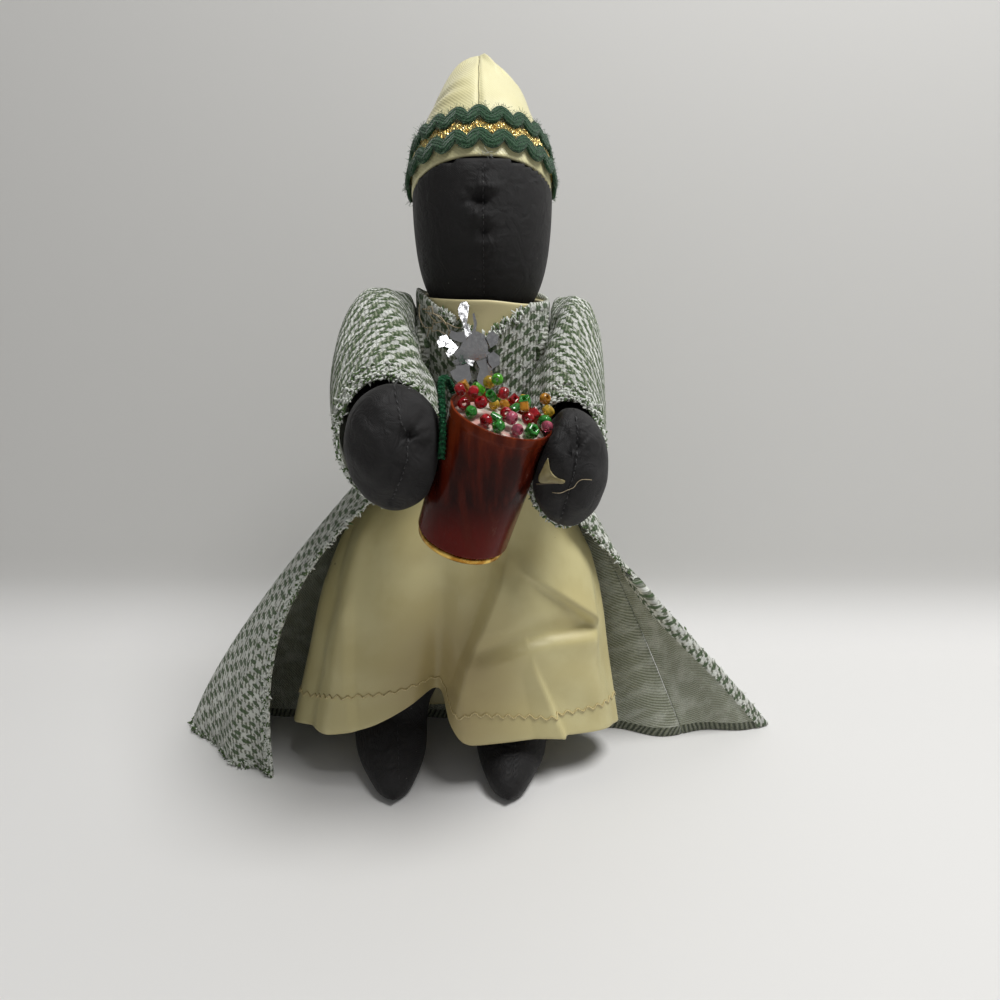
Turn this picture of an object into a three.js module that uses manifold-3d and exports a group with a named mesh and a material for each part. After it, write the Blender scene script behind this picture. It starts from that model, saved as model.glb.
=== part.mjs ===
// Cloth folk art doll: a black stuffed figure in a satin gown, a tweed coat and a braided cap,
// holding a cup of beads.
// Millimetres, +Z up, the doll faces -Y and stands on z = 0. The doll's own right hand is on the -X side.
import * as THREE from "three";
import { mergeVertices } from "three/addons/utils/BufferGeometryUtils.js";
import Module from "manifold-3d";

const wasm = await Module();
wasm.setup();

// Driving sizes
const seam = 0.3; // gap where one piece is cut by its neighbour
const gownCloth = 1.0;
const coatCloth = 1.6;
const capCloth = 1.4;
const shoulderHeight = 190; // height of the line the arms swing about
const shoulderReach = 23.6; // from the middle of the doll to the root of an arm
const armRootRadius = 9;
const waistHeight = 165; // the coat is closed above this and falls open below
const coatHalfWidth = 27.6;
const coatHalfDepth = 26.5;
const coatTop = 213;
const hipHeight = 70;
const hipSpread = 12.5;
const hipRadius = 10.5;
const hipForward = -3;
const nodHeight = 205; // height of the line the head nods about
const neckBallRadius = 14;
const torsoTop = 196;
const brimHeight = 250.5; // middle of the cap's brim
const crownHeight = 284; // top of the head, inside the cap
const cupFootHeight = 129.5; // underside of the cup, on its axis

// Small helpers

function point(x, y, z) {
  return new THREE.Vector3(x, y, z);
}

function mix(a, b, share) {
  return a + (b - a) * share;
}

// Reads rows of [key, value, value ...] at any key, straight between two rows.
function readRows(rows, key) {
  const last = rows.length - 2;
  let i = 0;
  while (i < last && key > rows[i + 1][0]) {
    i += 1;
  }
  const share = (key - rows[i][0]) / (rows[i + 1][0] - rows[i][0]);
  return rows[i].map((value, column) => mix(value, rows[i + 1][column], share));
}

function volumeOf(points, faces) {
  let volume = 0;
  for (let i = 0; i < faces.length; i += 3) {
    const [a, b, c] = [points[faces[i]], points[faces[i + 1]], points[faces[i + 2]]];
    volume += a.dot(b.clone().cross(c)) / 6;
  }
  return volume;
}

// One closed body from its points and triangles, always facing out.
function bodyFrom(points, faces) {
  if (volumeOf(points, faces) < 0) {
    faces.reverse();
  }
  const geometry = new THREE.BufferGeometry().setFromPoints(points);
  geometry.setIndex(faces);
  return geometry;
}

function addQuad(faces, a, b, c, d) {
  faces.push(a, b, c, a, c, d);
}

// A body through rings of points, with a point at each end, or none where the rings join up in a loop.
function bodyFromRings(rings, firstTip, lastTip) {
  const around = rings[0].length;
  const looped = !firstTip;
  const points = rings.flat();
  const faces = [];
  const steps = looped ? rings.length : rings.length - 1;
  for (let ring = 0; ring < steps; ring += 1) {
    const here = ring * around;
    const there = ((ring + 1) % rings.length) * around;
    for (let i = 0; i < around; i += 1) {
      const next = (i + 1) % around;
      addQuad(faces, here + i, here + next, there + next, there + i);
    }
  }
  if (!looped) {
    const first = points.push(firstTip) - 1;
    const last = points.push(lastTip) - 1;
    const lastRing = (rings.length - 1) * around;
    for (let i = 0; i < around; i += 1) {
      const next = (i + 1) % around;
      faces.push(first, next, i);
      faces.push(last, lastRing + i, lastRing + next);
    }
  }
  return bodyFrom(points, faces);
}

// A sheet of cloth from two grids of points, [column][row]: its outer face and its inner face.
function sheetFrom(outer, inner, closed) {
  const columns = outer.length;
  const rows = outer[0].length;
  const points = outer.flat().concat(inner.flat());
  const back = columns * rows;
  const faces = [];
  const steps = closed ? columns : columns - 1;
  for (let column = 0; column < steps; column += 1) {
    const here = column * rows;
    const there = ((column + 1) % columns) * rows;
    for (let row = 0; row + 1 < rows; row += 1) {
      addQuad(faces, here + row, there + row, there + row + 1, here + row + 1);
      addQuad(faces, back + here + row + 1, back + there + row + 1, back + there + row, back + here + row);
    }
    const end = rows - 1;
    addQuad(faces, here, back + here, back + there, there);
    addQuad(faces, there + end, back + there + end, back + here + end, here + end);
  }
  if (!closed) {
    const far = (columns - 1) * rows;
    for (let row = 0; row + 1 < rows; row += 1) {
      addQuad(faces, row, row + 1, back + row + 1, back + row);
      addQuad(faces, back + far + row, back + far + row + 1, far + row + 1, far + row);
    }
  }
  return bodyFrom(points, faces);
}

// Cloth hung on a surface: its outer face is the surface, its inner face lies further in, in plan.
// The surface runs anticlockwise seen from above, so that its left side is the inside.
function hungCloth(surface, places, rows, thickness, closed) {
  const step = 0.05;
  const outer = places.map((place) => rows.map((row) => surface(place, row)));
  const inner = places.map((place, column) =>
    rows.map((row, i) => {
      const along = surface(place + step, row).sub(surface(place - step, row)).setZ(0).normalize();
      return outer[column][i].clone().addScaledVector(point(-along.y, along.x, 0), thickness);
    }),
  );
  return sheetFrom(outer, inner, closed);
}

function ellipseRing(around, place) {
  return Array.from({ length: around }, (_, i) => place((2 * Math.PI * i) / around));
}

// A stuffed form along a path. Each stop is [x, y, z, half size along the reference, half size across it].
function stuffedLimb(stops, around, reference, tipRoot, tipEnd) {
  const centres = stops.map((stop) => point(stop[0], stop[1], stop[2]));
  const rings = stops.map((stop, i) => {
    const before = centres[Math.max(i - 1, 0)];
    const after = centres[Math.min(i + 1, stops.length - 1)];
    const along = after.clone().sub(before).normalize();
    const wide = reference.clone().addScaledVector(along, -reference.dot(along)).normalize();
    const deep = along.clone().cross(wide);
    return ellipseRing(around, (angle) =>
      centres[i]
        .clone()
        .addScaledVector(wide, stop[3] * Math.cos(angle))
        .addScaledVector(deep, stop[4] * Math.sin(angle)),
    );
  });
  return bodyFromRings(rings, tipRoot, tipEnd);
}

// A round body from a profile of [radius, height]. A profile that starts on the axis is closed there.
// Fluting draws every second side in by its share of the radius.
function turned(profile, around, depthShare = 1, fluting = 0) {
  const onAxis = profile[0][0] === 0;
  const rows = onAxis ? profile.slice(1, -1) : profile;
  const rings = rows.map(([radius, height]) =>
    ellipseRing(around, (angle) => {
      const drawn = radius * (1 - fluting * (0.5 - 0.5 * Math.cos((around * angle) / 2)));
      return point(drawn * Math.cos(angle), drawn * depthShare * Math.sin(angle), height);
    }),
  );
  if (!onAxis) {
    return bodyFromRings(rings);
  }
  return bodyFromRings(rings, point(0, 0, profile[0][1]), point(0, 0, profile.at(-1)[1]));
}

function solidOf(geometry) {
  const plain = new THREE.BufferGeometry().setAttribute("position", geometry.getAttribute("position"));
  plain.setIndex(geometry.index);
  const merged = mergeVertices(plain, 1e-4);
  const vertProperties = new Float32Array(merged.attributes.position.array);
  const triVerts = new Uint32Array(merged.index.array);
  return new wasm.Manifold(new wasm.Mesh({ numProp: 3, vertProperties, triVerts }));
}

function geometryOf(solid) {
  const mesh = solid.getMesh();
  const geometry = new THREE.BufferGeometry();
  geometry.setAttribute("position", new THREE.BufferAttribute(new Float32Array(mesh.vertProperties), 3));
  geometry.setIndex(Array.from(mesh.triVerts));
  return geometry;
}

// Takes each tool away from a body.
function cutBy(geometry, ...tools) {
  return geometryOf(tools.reduce((solid, tool) => solid.subtract(solidOf(tool)), solidOf(geometry)));
}

// A round bar along X, used only for cutting.
function barAlongX(radius, from, to, height) {
  const bar = turned([[0, from], [radius, from], [radius, to], [0, to]], 20);
  return bar.rotateY(Math.PI / 2).translate(0, 0, height);
}

function ball(radius, centre) {
  const steps = 10;
  const profile = Array.from({ length: steps + 1 }, (_, i) => {
    const angle = (Math.PI * i) / steps;
    const width = i === 0 || i === steps ? 0 : radius * Math.sin(angle);
    return [width, -radius * Math.cos(angle)];
  });
  return turned(profile, 20).translate(centre.x, centre.y, centre.z);
}

// Materials
function cloth(colour, roughness = 0.9) {
  return new THREE.MeshStandardMaterial({ color: colour, roughness, metalness: 0 });
}
function shiny(colour, roughness, metalness) {
  return new THREE.MeshStandardMaterial({ color: colour, roughness, metalness });
}
const blackCotton = cloth(0x232122);
const creamSatin = cloth(0xe6dfb4, 0.5);
const oliveSatin = cloth(0xb5ae7e, 0.5);
const tweed = cloth(0x8f9c80);
const greenBraid = cloth(0x2c5537);
const goldBraid = shiny(0xb8923a, 0.45, 0.6);
const amberPlastic = shiny(0xa0501e, 0.3, 0);
const goldPlastic = shiny(0xb98e3c, 0.3, 0.7);
const silverFoil = shiny(0xc9ccd0, 0.2, 1);
const greenCord = shiny(0x1f5a35, 0.4, 0.3);
const foam = cloth(0xe9e4d2);

const doll = new THREE.Group();
doll.name = "cloth_folk_art_doll";

function addPiece(name, geometry, material) {
  const mesh = new THREE.Mesh(geometry, material);
  mesh.name = name;
  doll.add(mesh);
}

// Cap: a soft tilted cone on the back of the head

const capMiddle = point(-0.3, 1, brimHeight);
const capTilt = THREE.MathUtils.degToRad(31);
const capLean = THREE.MathUtils.degToRad(-1.2); // a little towards the doll's right
const capDepthShare = 0.975;
// Outer profile above the brim: [height, radius]
const capProfile = [
  [0, 27.7],
  [5, 27.7],
  [17, 25.9],
  [27.5, 23.6],
  [38.5, 19.4],
  [49, 14],
  [56, 9.4],
  [61, 4.5],
];
const capHeight = 62.8;

function onCapAxis(geometry) {
  return geometry.rotateX(-capTilt).rotateY(capLean).translate(capMiddle.x, capMiddle.y, capMiddle.z);
}

// A solid of the cap's own shape, drawn in by an inset and carried down below the brim.
function capForm(inset, below) {
  const rows = capProfile.map(([height, radius]) => [radius - inset, height - inset * 0.3]);
  const brim = [rows[0][0], -below];
  return turned([[0, -below], brim, ...rows.slice(1), [0, capHeight - inset * 1.1]], 28, capDepthShare);
}

const capShell = cutBy(capForm(0, 0), capForm(capCloth, 5));
addPiece("cap", onCapAxis(capShell), creamSatin);

// Wavy braids round the cap: the gold one lies under the two green ones

const braidWaves = 20;
const braidStepsPerWave = 5;
const braidThickness = 1.1;

function waveBraid(middle, swing, width, layer, phase) {
  const count = braidWaves * braidStepsPerWave;
  const rings = ellipseRing(count, (angle) => {
    const height = middle + swing * Math.sin(braidWaves * angle + phase);
    const low = height - width / 2;
    const high = height + width / 2;
    const corners = [
      [low, layer],
      [low, layer + braidThickness],
      [high, layer + braidThickness],
      [high, layer],
    ];
    return corners.map(([level, out]) => {
      const radius = readRows(capProfile, level)[1] + out;
      return point(radius * Math.cos(angle), radius * capDepthShare * Math.sin(angle), level);
    });
  });
  return onCapAxis(bodyFromRings(rings));
}

const underLayer = seam;
const overLayer = underLayer + braidThickness + seam;
const braidPhase = 1.4; // turns the waves so that they fall as the real ones do at the front
addPiece("trim_gold", waveBraid(11.8, 2.2, 4.6, underLayer, braidPhase + Math.PI), goldBraid);
addPiece("trim_green_lower", waveBraid(6.4, 1.9, 4.8, overLayer, braidPhase), greenBraid);
addPiece("trim_green_upper", waveBraid(17.2, 1.9, 4.8, overLayer, braidPhase), greenBraid);

// Head: stuffed, no face, its crown tucked into the cap and its base hollowed over the ball of the neck

// [height, half width, half depth, middle y]
const headRows = [
  [205.6, 16.1, 14.1, 0],
  [207.5, 18.4, 16.3, 0],
  [211, 21, 18.7, 0],
  [216, 23.2, 20.6, 0],
  [225, 25.5, 23.1, 0],
  [234, 26.7, 24.4, -0.3],
  [244, 27.2, 24.9, -0.5],
  [253, 27, 24.9, -0.2],
  [262, 25.6, 24.2, 0.5],
  [270, 22, 21.5, 3],
  [277, 16, 16.5, 6],
  [282, 9, 9.5, 9],
];
const headRings = headRows.map(([height, wide, deep, middle]) =>
  ellipseRing(24, (angle) => point(wide * Math.cos(angle), middle + deep * Math.sin(angle), height)),
);
const headForm = bodyFromRings(headRings, point(0, 0, headRows[0][0]), point(0, 10, crownHeight));
const wellOutside = 45;
const aroundCap = turned([[0, -0.5], [wellOutside, -0.5], [wellOutside, 70], [0, 70]], 12);
const outsideCap = cutBy(aroundCap, capForm(capCloth + seam, 5));
const neckSocket = ball(neckBallRadius + 2 * seam, point(0, 0, nodHeight));
addPiece("head", cutBy(headForm, onCapAxis(outsideCap), neckSocket), blackCotton);

// Neck: a stuffed stub with a round top that the head nods on

const neckFoot = torsoTop + seam;
const neckWaist = 12.5;
const neckProfile = [[0, neckFoot], [neckWaist, neckFoot]];
const neckSteps = 7;
const neckLowAngle = -Math.acos(neckWaist / neckBallRadius);
for (let i = 0; i <= neckSteps; i += 1) {
  const angle = mix(neckLowAngle, Math.PI / 2, i / neckSteps);
  const radius = i === neckSteps ? 0 : neckBallRadius * Math.cos(angle);
  neckProfile.push([radius, nodHeight + neckBallRadius * Math.sin(angle)]);
}
addPiece("neck", turned(neckProfile, 20), blackCotton);

// Torso

// [height, half width, half depth, middle y]
const torsoRows = [
  [74, 15, 10, -3],
  [77, 20.5, 13.5, -3],
  [84, 23.4, 16, -3],
  [104, 23.6, 17.8, -2],
  [142, 23.2, 19, 0],
  [175, 23.3, 19, 0],
  [187, 23.3, 18.5, 0],
  [192.5, 21, 16.5, 0],
  [torsoTop, 15.5, 13.5, 0],
];
const torsoRings = torsoRows.map(([height, wide, deep, middle]) =>
  ellipseRing(20, (angle) => point(wide * Math.cos(angle), middle + deep * Math.sin(angle), height)),
);
const torsoForm = bodyFromRings(torsoRings, point(0, -3, torsoRows[0][0]), point(0, 0, torsoTop));

function hip(side) {
  return point(side * hipSpread, hipForward, hipHeight);
}
const hipSockets = [-1, 1].map((side) => ball(hipRadius + 2 * seam, hip(side)));
addPiece("torso", cutBy(torsoForm, ...hipSockets), blackCotton);

// Legs: each ends in a pointed foot whose sole is cut flat on the floor

const belowFloor = 20;
const soleCut = new THREE.BoxGeometry(400, 400, belowFloor).translate(0, 0, -belowFloor / 2);

function leg(side, ankleX, toeX) {
  const start = hip(side);
  // [x, y, height, half width, half depth]
  const stops = [
    [start.x, hipForward, hipHeight + 8.5, 6, 6],
    [start.x, hipForward, hipHeight + 5.2, 9.1, 9.1],
    [start.x, hipForward, hipHeight, hipRadius, hipRadius],
    [mix(start.x, ankleX, 0.22), -5.5, 59, 12, 11.5],
    [mix(start.x, ankleX, 0.6), -8.5, 45, 14, 12],
    [mix(start.x, ankleX, 0.9), -12.5, 31, 16, 12.5],
    [ankleX, -18.5, 19, 17, 13.3],
    [mix(ankleX, toeX, 0.25), -28.5, 11.6, 16, 12.4],
    [mix(ankleX, toeX, 0.65), -40, 8.3, 12, 9],
    [mix(ankleX, toeX, 0.95), -49.5, 5.9, 7.5, 6.5],
  ];
  const crown = point(start.x, hipForward, hipHeight + hipRadius);
  return cutBy(stuffedLimb(stops, 16, point(1, 0, 0), crown, point(toeX, -56, 4.6)), soleCut);
}
addPiece("right_leg", leg(-1, -44, -39.6), blackCotton);
addPiece("left_leg", leg(1, 12.5, 10.5), blackCotton);

// Gown: one hollow satin tube from collar to hem, with a deep fold between the legs

// [height, half width, reach to the front, reach to the back, middle x]
const gownRows = [
  [22, 76, 42.5, 6, -13.5],
  [53, 69, 39, 12, -12.5],
  [88, 61.5, 33.5, 16, -11],
  [119, 49, 27.5, 19.6, -9],
  [138, 34.6, 25.3, 21.3, -4.5],
  [150, 25.2, 24, 22.4, -0.2],
  [190, 25, 23.8, 23.2, 0],
  [208, 25, 23.6, 23.2, 0],
  [213, 25.5, 24.3, 24.2, 0],
];
const gownHem = gownRows[0][0];
const gownFoldsFrom = 150;
const gownColumns = 42;
const foldPlace = THREE.MathUtils.degToRad(-6);

// 1 on a fold's line, fading to 0 a given width away.
function bump(angle, place, width) {
  const away = Math.atan2(Math.sin(angle - place), Math.cos(angle - place));
  return Math.exp(-((away / width) ** 2));
}

function gownPoint(angle, height) {
  const [, wide, front, back, middle] = readRows(gownRows, height);
  const hang = Math.max(0, (gownFoldsFrom - height) / (gownFoldsFrom - gownHem));
  const between = bump(angle, foldPlace, 0.1);
  const ripple = 0.022 * Math.sin(7 * angle + 0.6) * (1 - bump(angle, foldPlace, 0.4));
  const draw = 1 + hang * hang * (ripple - 0.5 * between);
  const deep = (front + back) / 2;
  const x = middle + wide * (1 + hang * ripple) * Math.sin(angle);
  const y = (back - front) / 2 - deep * draw * Math.cos(angle);
  // The hem is highest between the legs, rises towards them from the right and is lowest at the back
  const rise = angle < foldPlace || angle > Math.PI ? bump(angle, foldPlace, 0.4) : between;
  const lift = hang ** 3 * (7 * Math.cos(angle) - 3 + 17 * rise);
  return point(x, y, height + lift);
}

// Columns stand closer together at the front, where the fold is.
const gownAngles = Array.from({ length: gownColumns }, (_, i) => {
  const turn = (2 * Math.PI * i) / gownColumns;
  return turn - 0.55 * Math.sin(turn);
});
const gownHeights = gownRows.map((row) => row[0]);
const gownArmHole = barAlongX(armRootRadius + 3, -60, 60, shoulderHeight);
const gownTube = hungCloth(gownPoint, gownAngles, gownHeights, gownCloth, true);
addPiece("gown", cutBy(gownTube, gownArmHole), oliveSatin);

// Coat: closed to the waist, then falling open to a wide hem on the floor

// Columns from the right front edge round the back to the left front edge:
// angle round the waist, hem x, hem y, and how soon the column swings out.
const coatColumns = [
  [0.4, -99, -36, 2.9],
  [45, -125, -21, 1.6],
  [90, -150, 9, 1.18],
  [135, -78, 14, 1.05],
  [180, -5, 12, 1],
  [225, 55, 2, 1],
  [270, 98, -2, 1.05],
  [359.6, 143, 6, 1.05],
];
const rightSeam = 2; // column of each side seam
const leftSeam = 6;
const coatSheetRows = [coatTop, 196, 180, waistHeight, 157, 148, 136, 120, 98, 68, 34, 0];
const coatRipple = 2.2;
const hemCurve = new THREE.CatmullRomCurve3(
  coatColumns.map(([, x, y]) => point(x, y, 0)),
  false,
  "centripetal",
);

function coatPoint(place, height) {
  const last = coatColumns.length - 1;
  const [, turn, , , swing] = readRows(coatColumns.map((column, i) => [i, ...column]), place);
  const angle = THREE.MathUtils.degToRad(turn);
  const waistX = -coatHalfWidth * Math.sin(angle);
  const waistY = -coatHalfDepth * Math.cos(angle);
  if (height >= waistHeight) {
    return point(waistX, waistY, height);
  }
  const hem = hemCurve.getPoint(THREE.MathUtils.clamp(place / last, 0, 1));
  const drop = (waistHeight - height) / waistHeight;
  const out = 1 - (1 - drop) ** swing;
  const ripple = coatRipple * drop * drop * Math.sin(2 * Math.PI * place);
  return point(mix(waistX, hem.x, out), mix(waistY, hem.y, drop) + ripple, height);
}

function coatPanel(from, to, columns) {
  const places = Array.from({ length: columns }, (_, i) => mix(from, to, i / (columns - 1)));
  return hungCloth(coatPoint, places, coatSheetRows, -coatCloth, false);
}

// The V of the neck, cut through the two fronts
const veeFoot = 199.5;
const veeFootWidth = 1.2; // half of it
function neckVee() {
  const outline = new THREE.Shape();
  outline.moveTo(-veeFootWidth, veeFoot);
  outline.lineTo(veeFootWidth, veeFoot);
  outline.lineTo(25, coatTop + 2);
  outline.lineTo(-25, coatTop + 2);
  outline.closePath();
  const vee = new THREE.ExtrudeGeometry(outline, { depth: 40, bevelEnabled: false });
  return vee.rotateX(Math.PI / 2);
}

const coatArmHole = barAlongX(armRootRadius + 6, -60, 60, shoulderHeight);
const panelGap = 0.006; // in columns, about 0.3 mm each side of a seam
const rightFront = coatPanel(0, rightSeam - panelGap, 10);
const backPanel = coatPanel(rightSeam + panelGap, leftSeam - panelGap, 21);
const leftFront = coatPanel(leftSeam + panelGap, coatColumns.length - 1, 8);
addPiece("coat_right_front", cutBy(rightFront, coatArmHole, neckVee()), tweed);
addPiece("coat_back", cutBy(backPanel, coatArmHole), tweed);
addPiece("coat_left_front", cutBy(leftFront, coatArmHole, neckVee()), tweed);

// Cup: a leaning tube, glued between the hands

const cupBase = point(-7.2, -56, cupFootHeight);
const cupAxis = point(0.289, -0.15, 0.935).normalize();
const cupHeight = 51;
const cupWall = 1;
const cupFloor = 1.4;
const cupFootRadius = 17.6;
const cupRimRadius = 18.7;
const footThickness = 2.6;

const cupTurn = new THREE.Quaternion().setFromUnitVectors(point(0, 0, 1), cupAxis);

function onCupAxis(geometry) {
  return geometry.applyQuaternion(cupTurn).translate(cupBase.x, cupBase.y, cupBase.z);
}

const cupInnerFoot = cupFootRadius - cupWall;
const cupInnerRim = cupRimRadius - cupWall;
const cupProfile = [
  [0, 0],
  [cupFootRadius - 0.8, 0],
  [cupFootRadius, 0.8],
  [cupRimRadius - 0.4, cupHeight - 4],
  [cupRimRadius, cupHeight - 3],
  [cupRimRadius, cupHeight],
  [cupInnerRim, cupHeight],
  [cupInnerRim, cupHeight - 16.5],
  [cupInnerFoot, cupFloor],
  [0, cupFloor],
];
const cupSides = 28;
addPiece("cup", onCupAxis(turned(cupProfile, cupSides)), amberPlastic);

const footTop = -seam;
const footBottom = footTop - footThickness;
const footRadius = 16.8;
const footProfile = [
  [11, footBottom],
  [footRadius - 0.7, footBottom],
  [footRadius, footBottom + 0.7],
  [footRadius, footTop - 0.5],
  [footRadius - 0.5, footTop],
  [11, footTop],
];
addPiece("cup_foot_ring", onCupAxis(turned(footProfile, cupSides)), goldPlastic);

// A body the shape of the cup and its foot, a little larger, that cuts whatever the cup presses into
const cupSpace = onCupAxis(
  turned(
    [
      [0, footBottom - seam],
      [cupFootRadius + seam, footBottom - seam],
      [cupRimRadius + seam, cupHeight + seam],
      [cupRimRadius + 4 * seam, cupHeight + 1],
      [cupRimRadius + 4 * seam, cupHeight + 9],
      [0, cupHeight + 9],
    ],
    28,
  ),
);

// Foam plug under the beads

const foamRadius = cupInnerRim - seam;
const foamShoulder = cupHeight - 3.6;
const foamDome = 2.6;
const foamProfile = [
  [0, cupHeight - 16],
  [foamRadius, cupHeight - 16],
  [foamRadius, foamShoulder],
  [foamRadius * 0.8, foamShoulder + foamDome * 0.36],
  [foamRadius * 0.45, foamShoulder + foamDome * 0.8],
  [0, foamShoulder + foamDome],
];
const foamForm = turned(foamProfile, 20);
addPiece("foam_filling", onCupAxis(foamForm.clone()), foam);

// Beads: dropped one by one on the foam and on each other, in the cup's own frame

// A bead is [shape, colour, across, back, diameter]
const beads = [
  ["round", 0xb3202a, -13.8, -1, 4.8],
  ["faceted", 0x2c7a3c, -10.9, -6.2, 4.8],
  ["faceted", 0x2c7a3c, -1, -12.3, 5],
  ["faceted", 0xa8465e, 5.7, -10.1, 4.6],
  ["round", 0xa8465e, 15.9, -4, 4.4],
  ["faceted", 0xb3202a, -5.5, -10.1, 4.8],
  ["round", 0xb3202a, -16.4, 0.7, 4.8],
  ["round", 0xa8465e, 2.8, -7.4, 5],
  ["fluted", 0x2c7a3c, 10.8, -8.3, 5.8],
  ["round", 0xb3202a, 8.5, -4.7, 4.6],
  ["round", 0xb3202a, -8.5, -3.9, 4.8],
  ["tube", 0x2c7a3c, -2.3, -6.6, 5.4],
  ["square", 0xcf8a1e, 6.2, -4.4, 5.2],
  ["round", 0x2c7a3c, 15.2, 0.5, 5.2],
  ["round", 0xd9b93c, 15.8, 4.4, 4.8],
  ["faceted", 0xb3202a, -12, -2.3, 4.6],
  ["round", 0xcf8a1e, 13.7, 7.3, 4.4],
  ["square", 0xcf8a1e, -15.6, 5, 6.2],
  ["tube", 0x2c7a3c, -5.6, -1.9, 5.4],
  ["round", 0xd9b93c, 7.2, 14.7, 4.4],
  ["square", 0xb3202a, 10.9, 2.1, 5.8],
  ["round", 0xb3202a, 1.1, -1.5, 4.6],
  ["tube", 0x2c7a3c, 3.8, 1.5, 5],
  ["tube", 0x2c7a3c, -10.3, 4.8, 5.8],
  ["round", 0xd9b93c, -7.2, 7.4, 4.8],
  ["round", 0xd9b93c, -3.2, 5, 4.2],
  ["tube", 0x2c7a3c, -0.6, 13.3, 5.2],
  ["faceted", 0xcf8a1e, 0.6, 7.5, 4.6],
  ["round", 0xb3202a, -1.9, -1.2, 4.6],
  ["square", 0xb3202a, 3.2, 10, 5.4],
  ["round", 0x2c7a3c, -4.9, 4.6, 4.4],
  ["square", 0x2c7a3c, 6.8, 4.2, 6],
];
const beadTouch = 0.06; // room left round each bead, as a share of its size
const beadHole = 0.16; // share of the diameter

function beadBody(shape, size) {
  const hole = size * beadHole;
  const radius = size / 2;
  const long = { square: 0.56, tube: 0.74, faceted: 0.74, fluted: 0.7, round: 0.72 }[shape] * radius;
  const full = { square: 0.81, tube: 0.66, faceted: 0.98, fluted: 0.98, round: 1 }[shape] * radius;
  const shoulder = { square: 0.98, tube: 0.95, faceted: 0.64, fluted: 0.7, round: 0.66 }[shape] * full;
  const sides = { square: 4, tube: 8, faceted: 6, fluted: 12, round: 9 }[shape];
  const profile = [
    [hole, -long],
    [shoulder, -long],
    [full, -long * 0.45],
    [full, long * 0.45],
    [shoulder, long],
    [hole, long],
  ];
  return turned(profile, sides, 1, shape === "fluted" ? 0.16 : 0);
}

// How far a body can be let down, in small steps, before it would touch the heap.
function dropOnto(heap, body, from) {
  const step = 0.1;
  let height = from;
  while (height > 0 && heap.intersect(body.translate([0, 0, height - step])).volume() === 0) {
    height -= step;
  }
  return height;
}

let heap = solidOf(foamForm).add(solidOf(turned(cupProfile, cupSides)));
beads.forEach(([shape, colour, across, back, size], i) => {
  const body = beadBody(shape, size).rotateX(1.2 + 0.5 * Math.sin(3 * i));
  body.rotateZ(2.4 * i);
  const roomy = body.clone().scale(1 + beadTouch, 1 + beadTouch, 1 + beadTouch);
  const height = dropOnto(heap, solidOf(roomy.translate(across, back, 0)), cupHeight + 12);
  body.translate(across, back, height);
  heap = heap.add(solidOf(body));
  const number = String(i + 1).padStart(2, "0");
  addPiece(`bead_${number}`, onCupAxis(body), shiny(colour, 0.25, 0));
});

// Arms: from the shoulder out, round to the front and into mitten hands that hold the cup

function arm(side, reach, thick, handX, handZ, handWide, handHigh) {
  // [x, y, height, half height, half width]
  const stops = [
    [side * shoulderReach, 0, shoulderHeight, armRootRadius, armRootRadius],
    [side * (shoulderReach + 6), 0, shoulderHeight, armRootRadius, armRootRadius],
    [side * (reach - 5), -5, shoulderHeight - 1, 11, thick],
    [side * reach, -15, shoulderHeight - 6, 12, thick],
    [side * reach, -29, mix(shoulderHeight - 6, handZ, 0.55), 13, thick],
    [mix(side * reach, handX, 0.5), -43, mix(shoulderHeight - 6, handZ, 0.9), 15.5, thick + 0.5],
    [mix(side * reach, handX, 0.85), -54, handZ + 0.5, handHigh * 0.82, handWide * 0.84],
    [handX, -64, handZ, handHigh, handWide],
    [handX, -71, handZ, handHigh * 0.87, handWide * 0.86],
    [handX, -76, handZ, handHigh * 0.55, handWide * 0.5],
  ];
  const root = point(side * shoulderReach, 0, shoulderHeight);
  const tip = point(handX, -79, handZ);
  return stuffedLimb(stops, 16, point(0, 0, 1), root, tip);
}
addPiece("right_arm", cutBy(arm(-1, 42, 9.8, -30.5, 165.5, 17.5, 23), cupSpace), blackCotton);
addPiece("left_arm", cutBy(arm(1, 37.4, 7.8, 31.5, 158, 14, 22), cupSpace), blackCotton);

// Sleeves: full at the shoulder, open at the cuff, turning with the arms

const sleeveColumns = 20;

// Each ring stands in an upright plane: [middle x, y, z, plan direction x, y, half width, half height]
function sleeve(side, rings, creasePlace) {
  const level = (ring, thin) => (angle) => {
    const [x, y, z, dx, dy, wide, high] = ring;
    const crease = 1 - 0.1 * bump(angle, creasePlace, 0.28);
    const across = (wide - thin) * Math.cos(angle) * crease;
    const up = (high - thin) * Math.sin(angle) * crease;
    return point(side * (x + dx * across), y + dy * across, z + up);
  };
  const grid = (thin) =>
    Array.from({ length: sleeveColumns }, (_, i) =>
      rings.map((ring) => level(ring, thin)((2 * Math.PI * i) / sleeveColumns)),
    );
  return sheetFrom(grid(0), grid(coatCloth), true);
}

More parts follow.
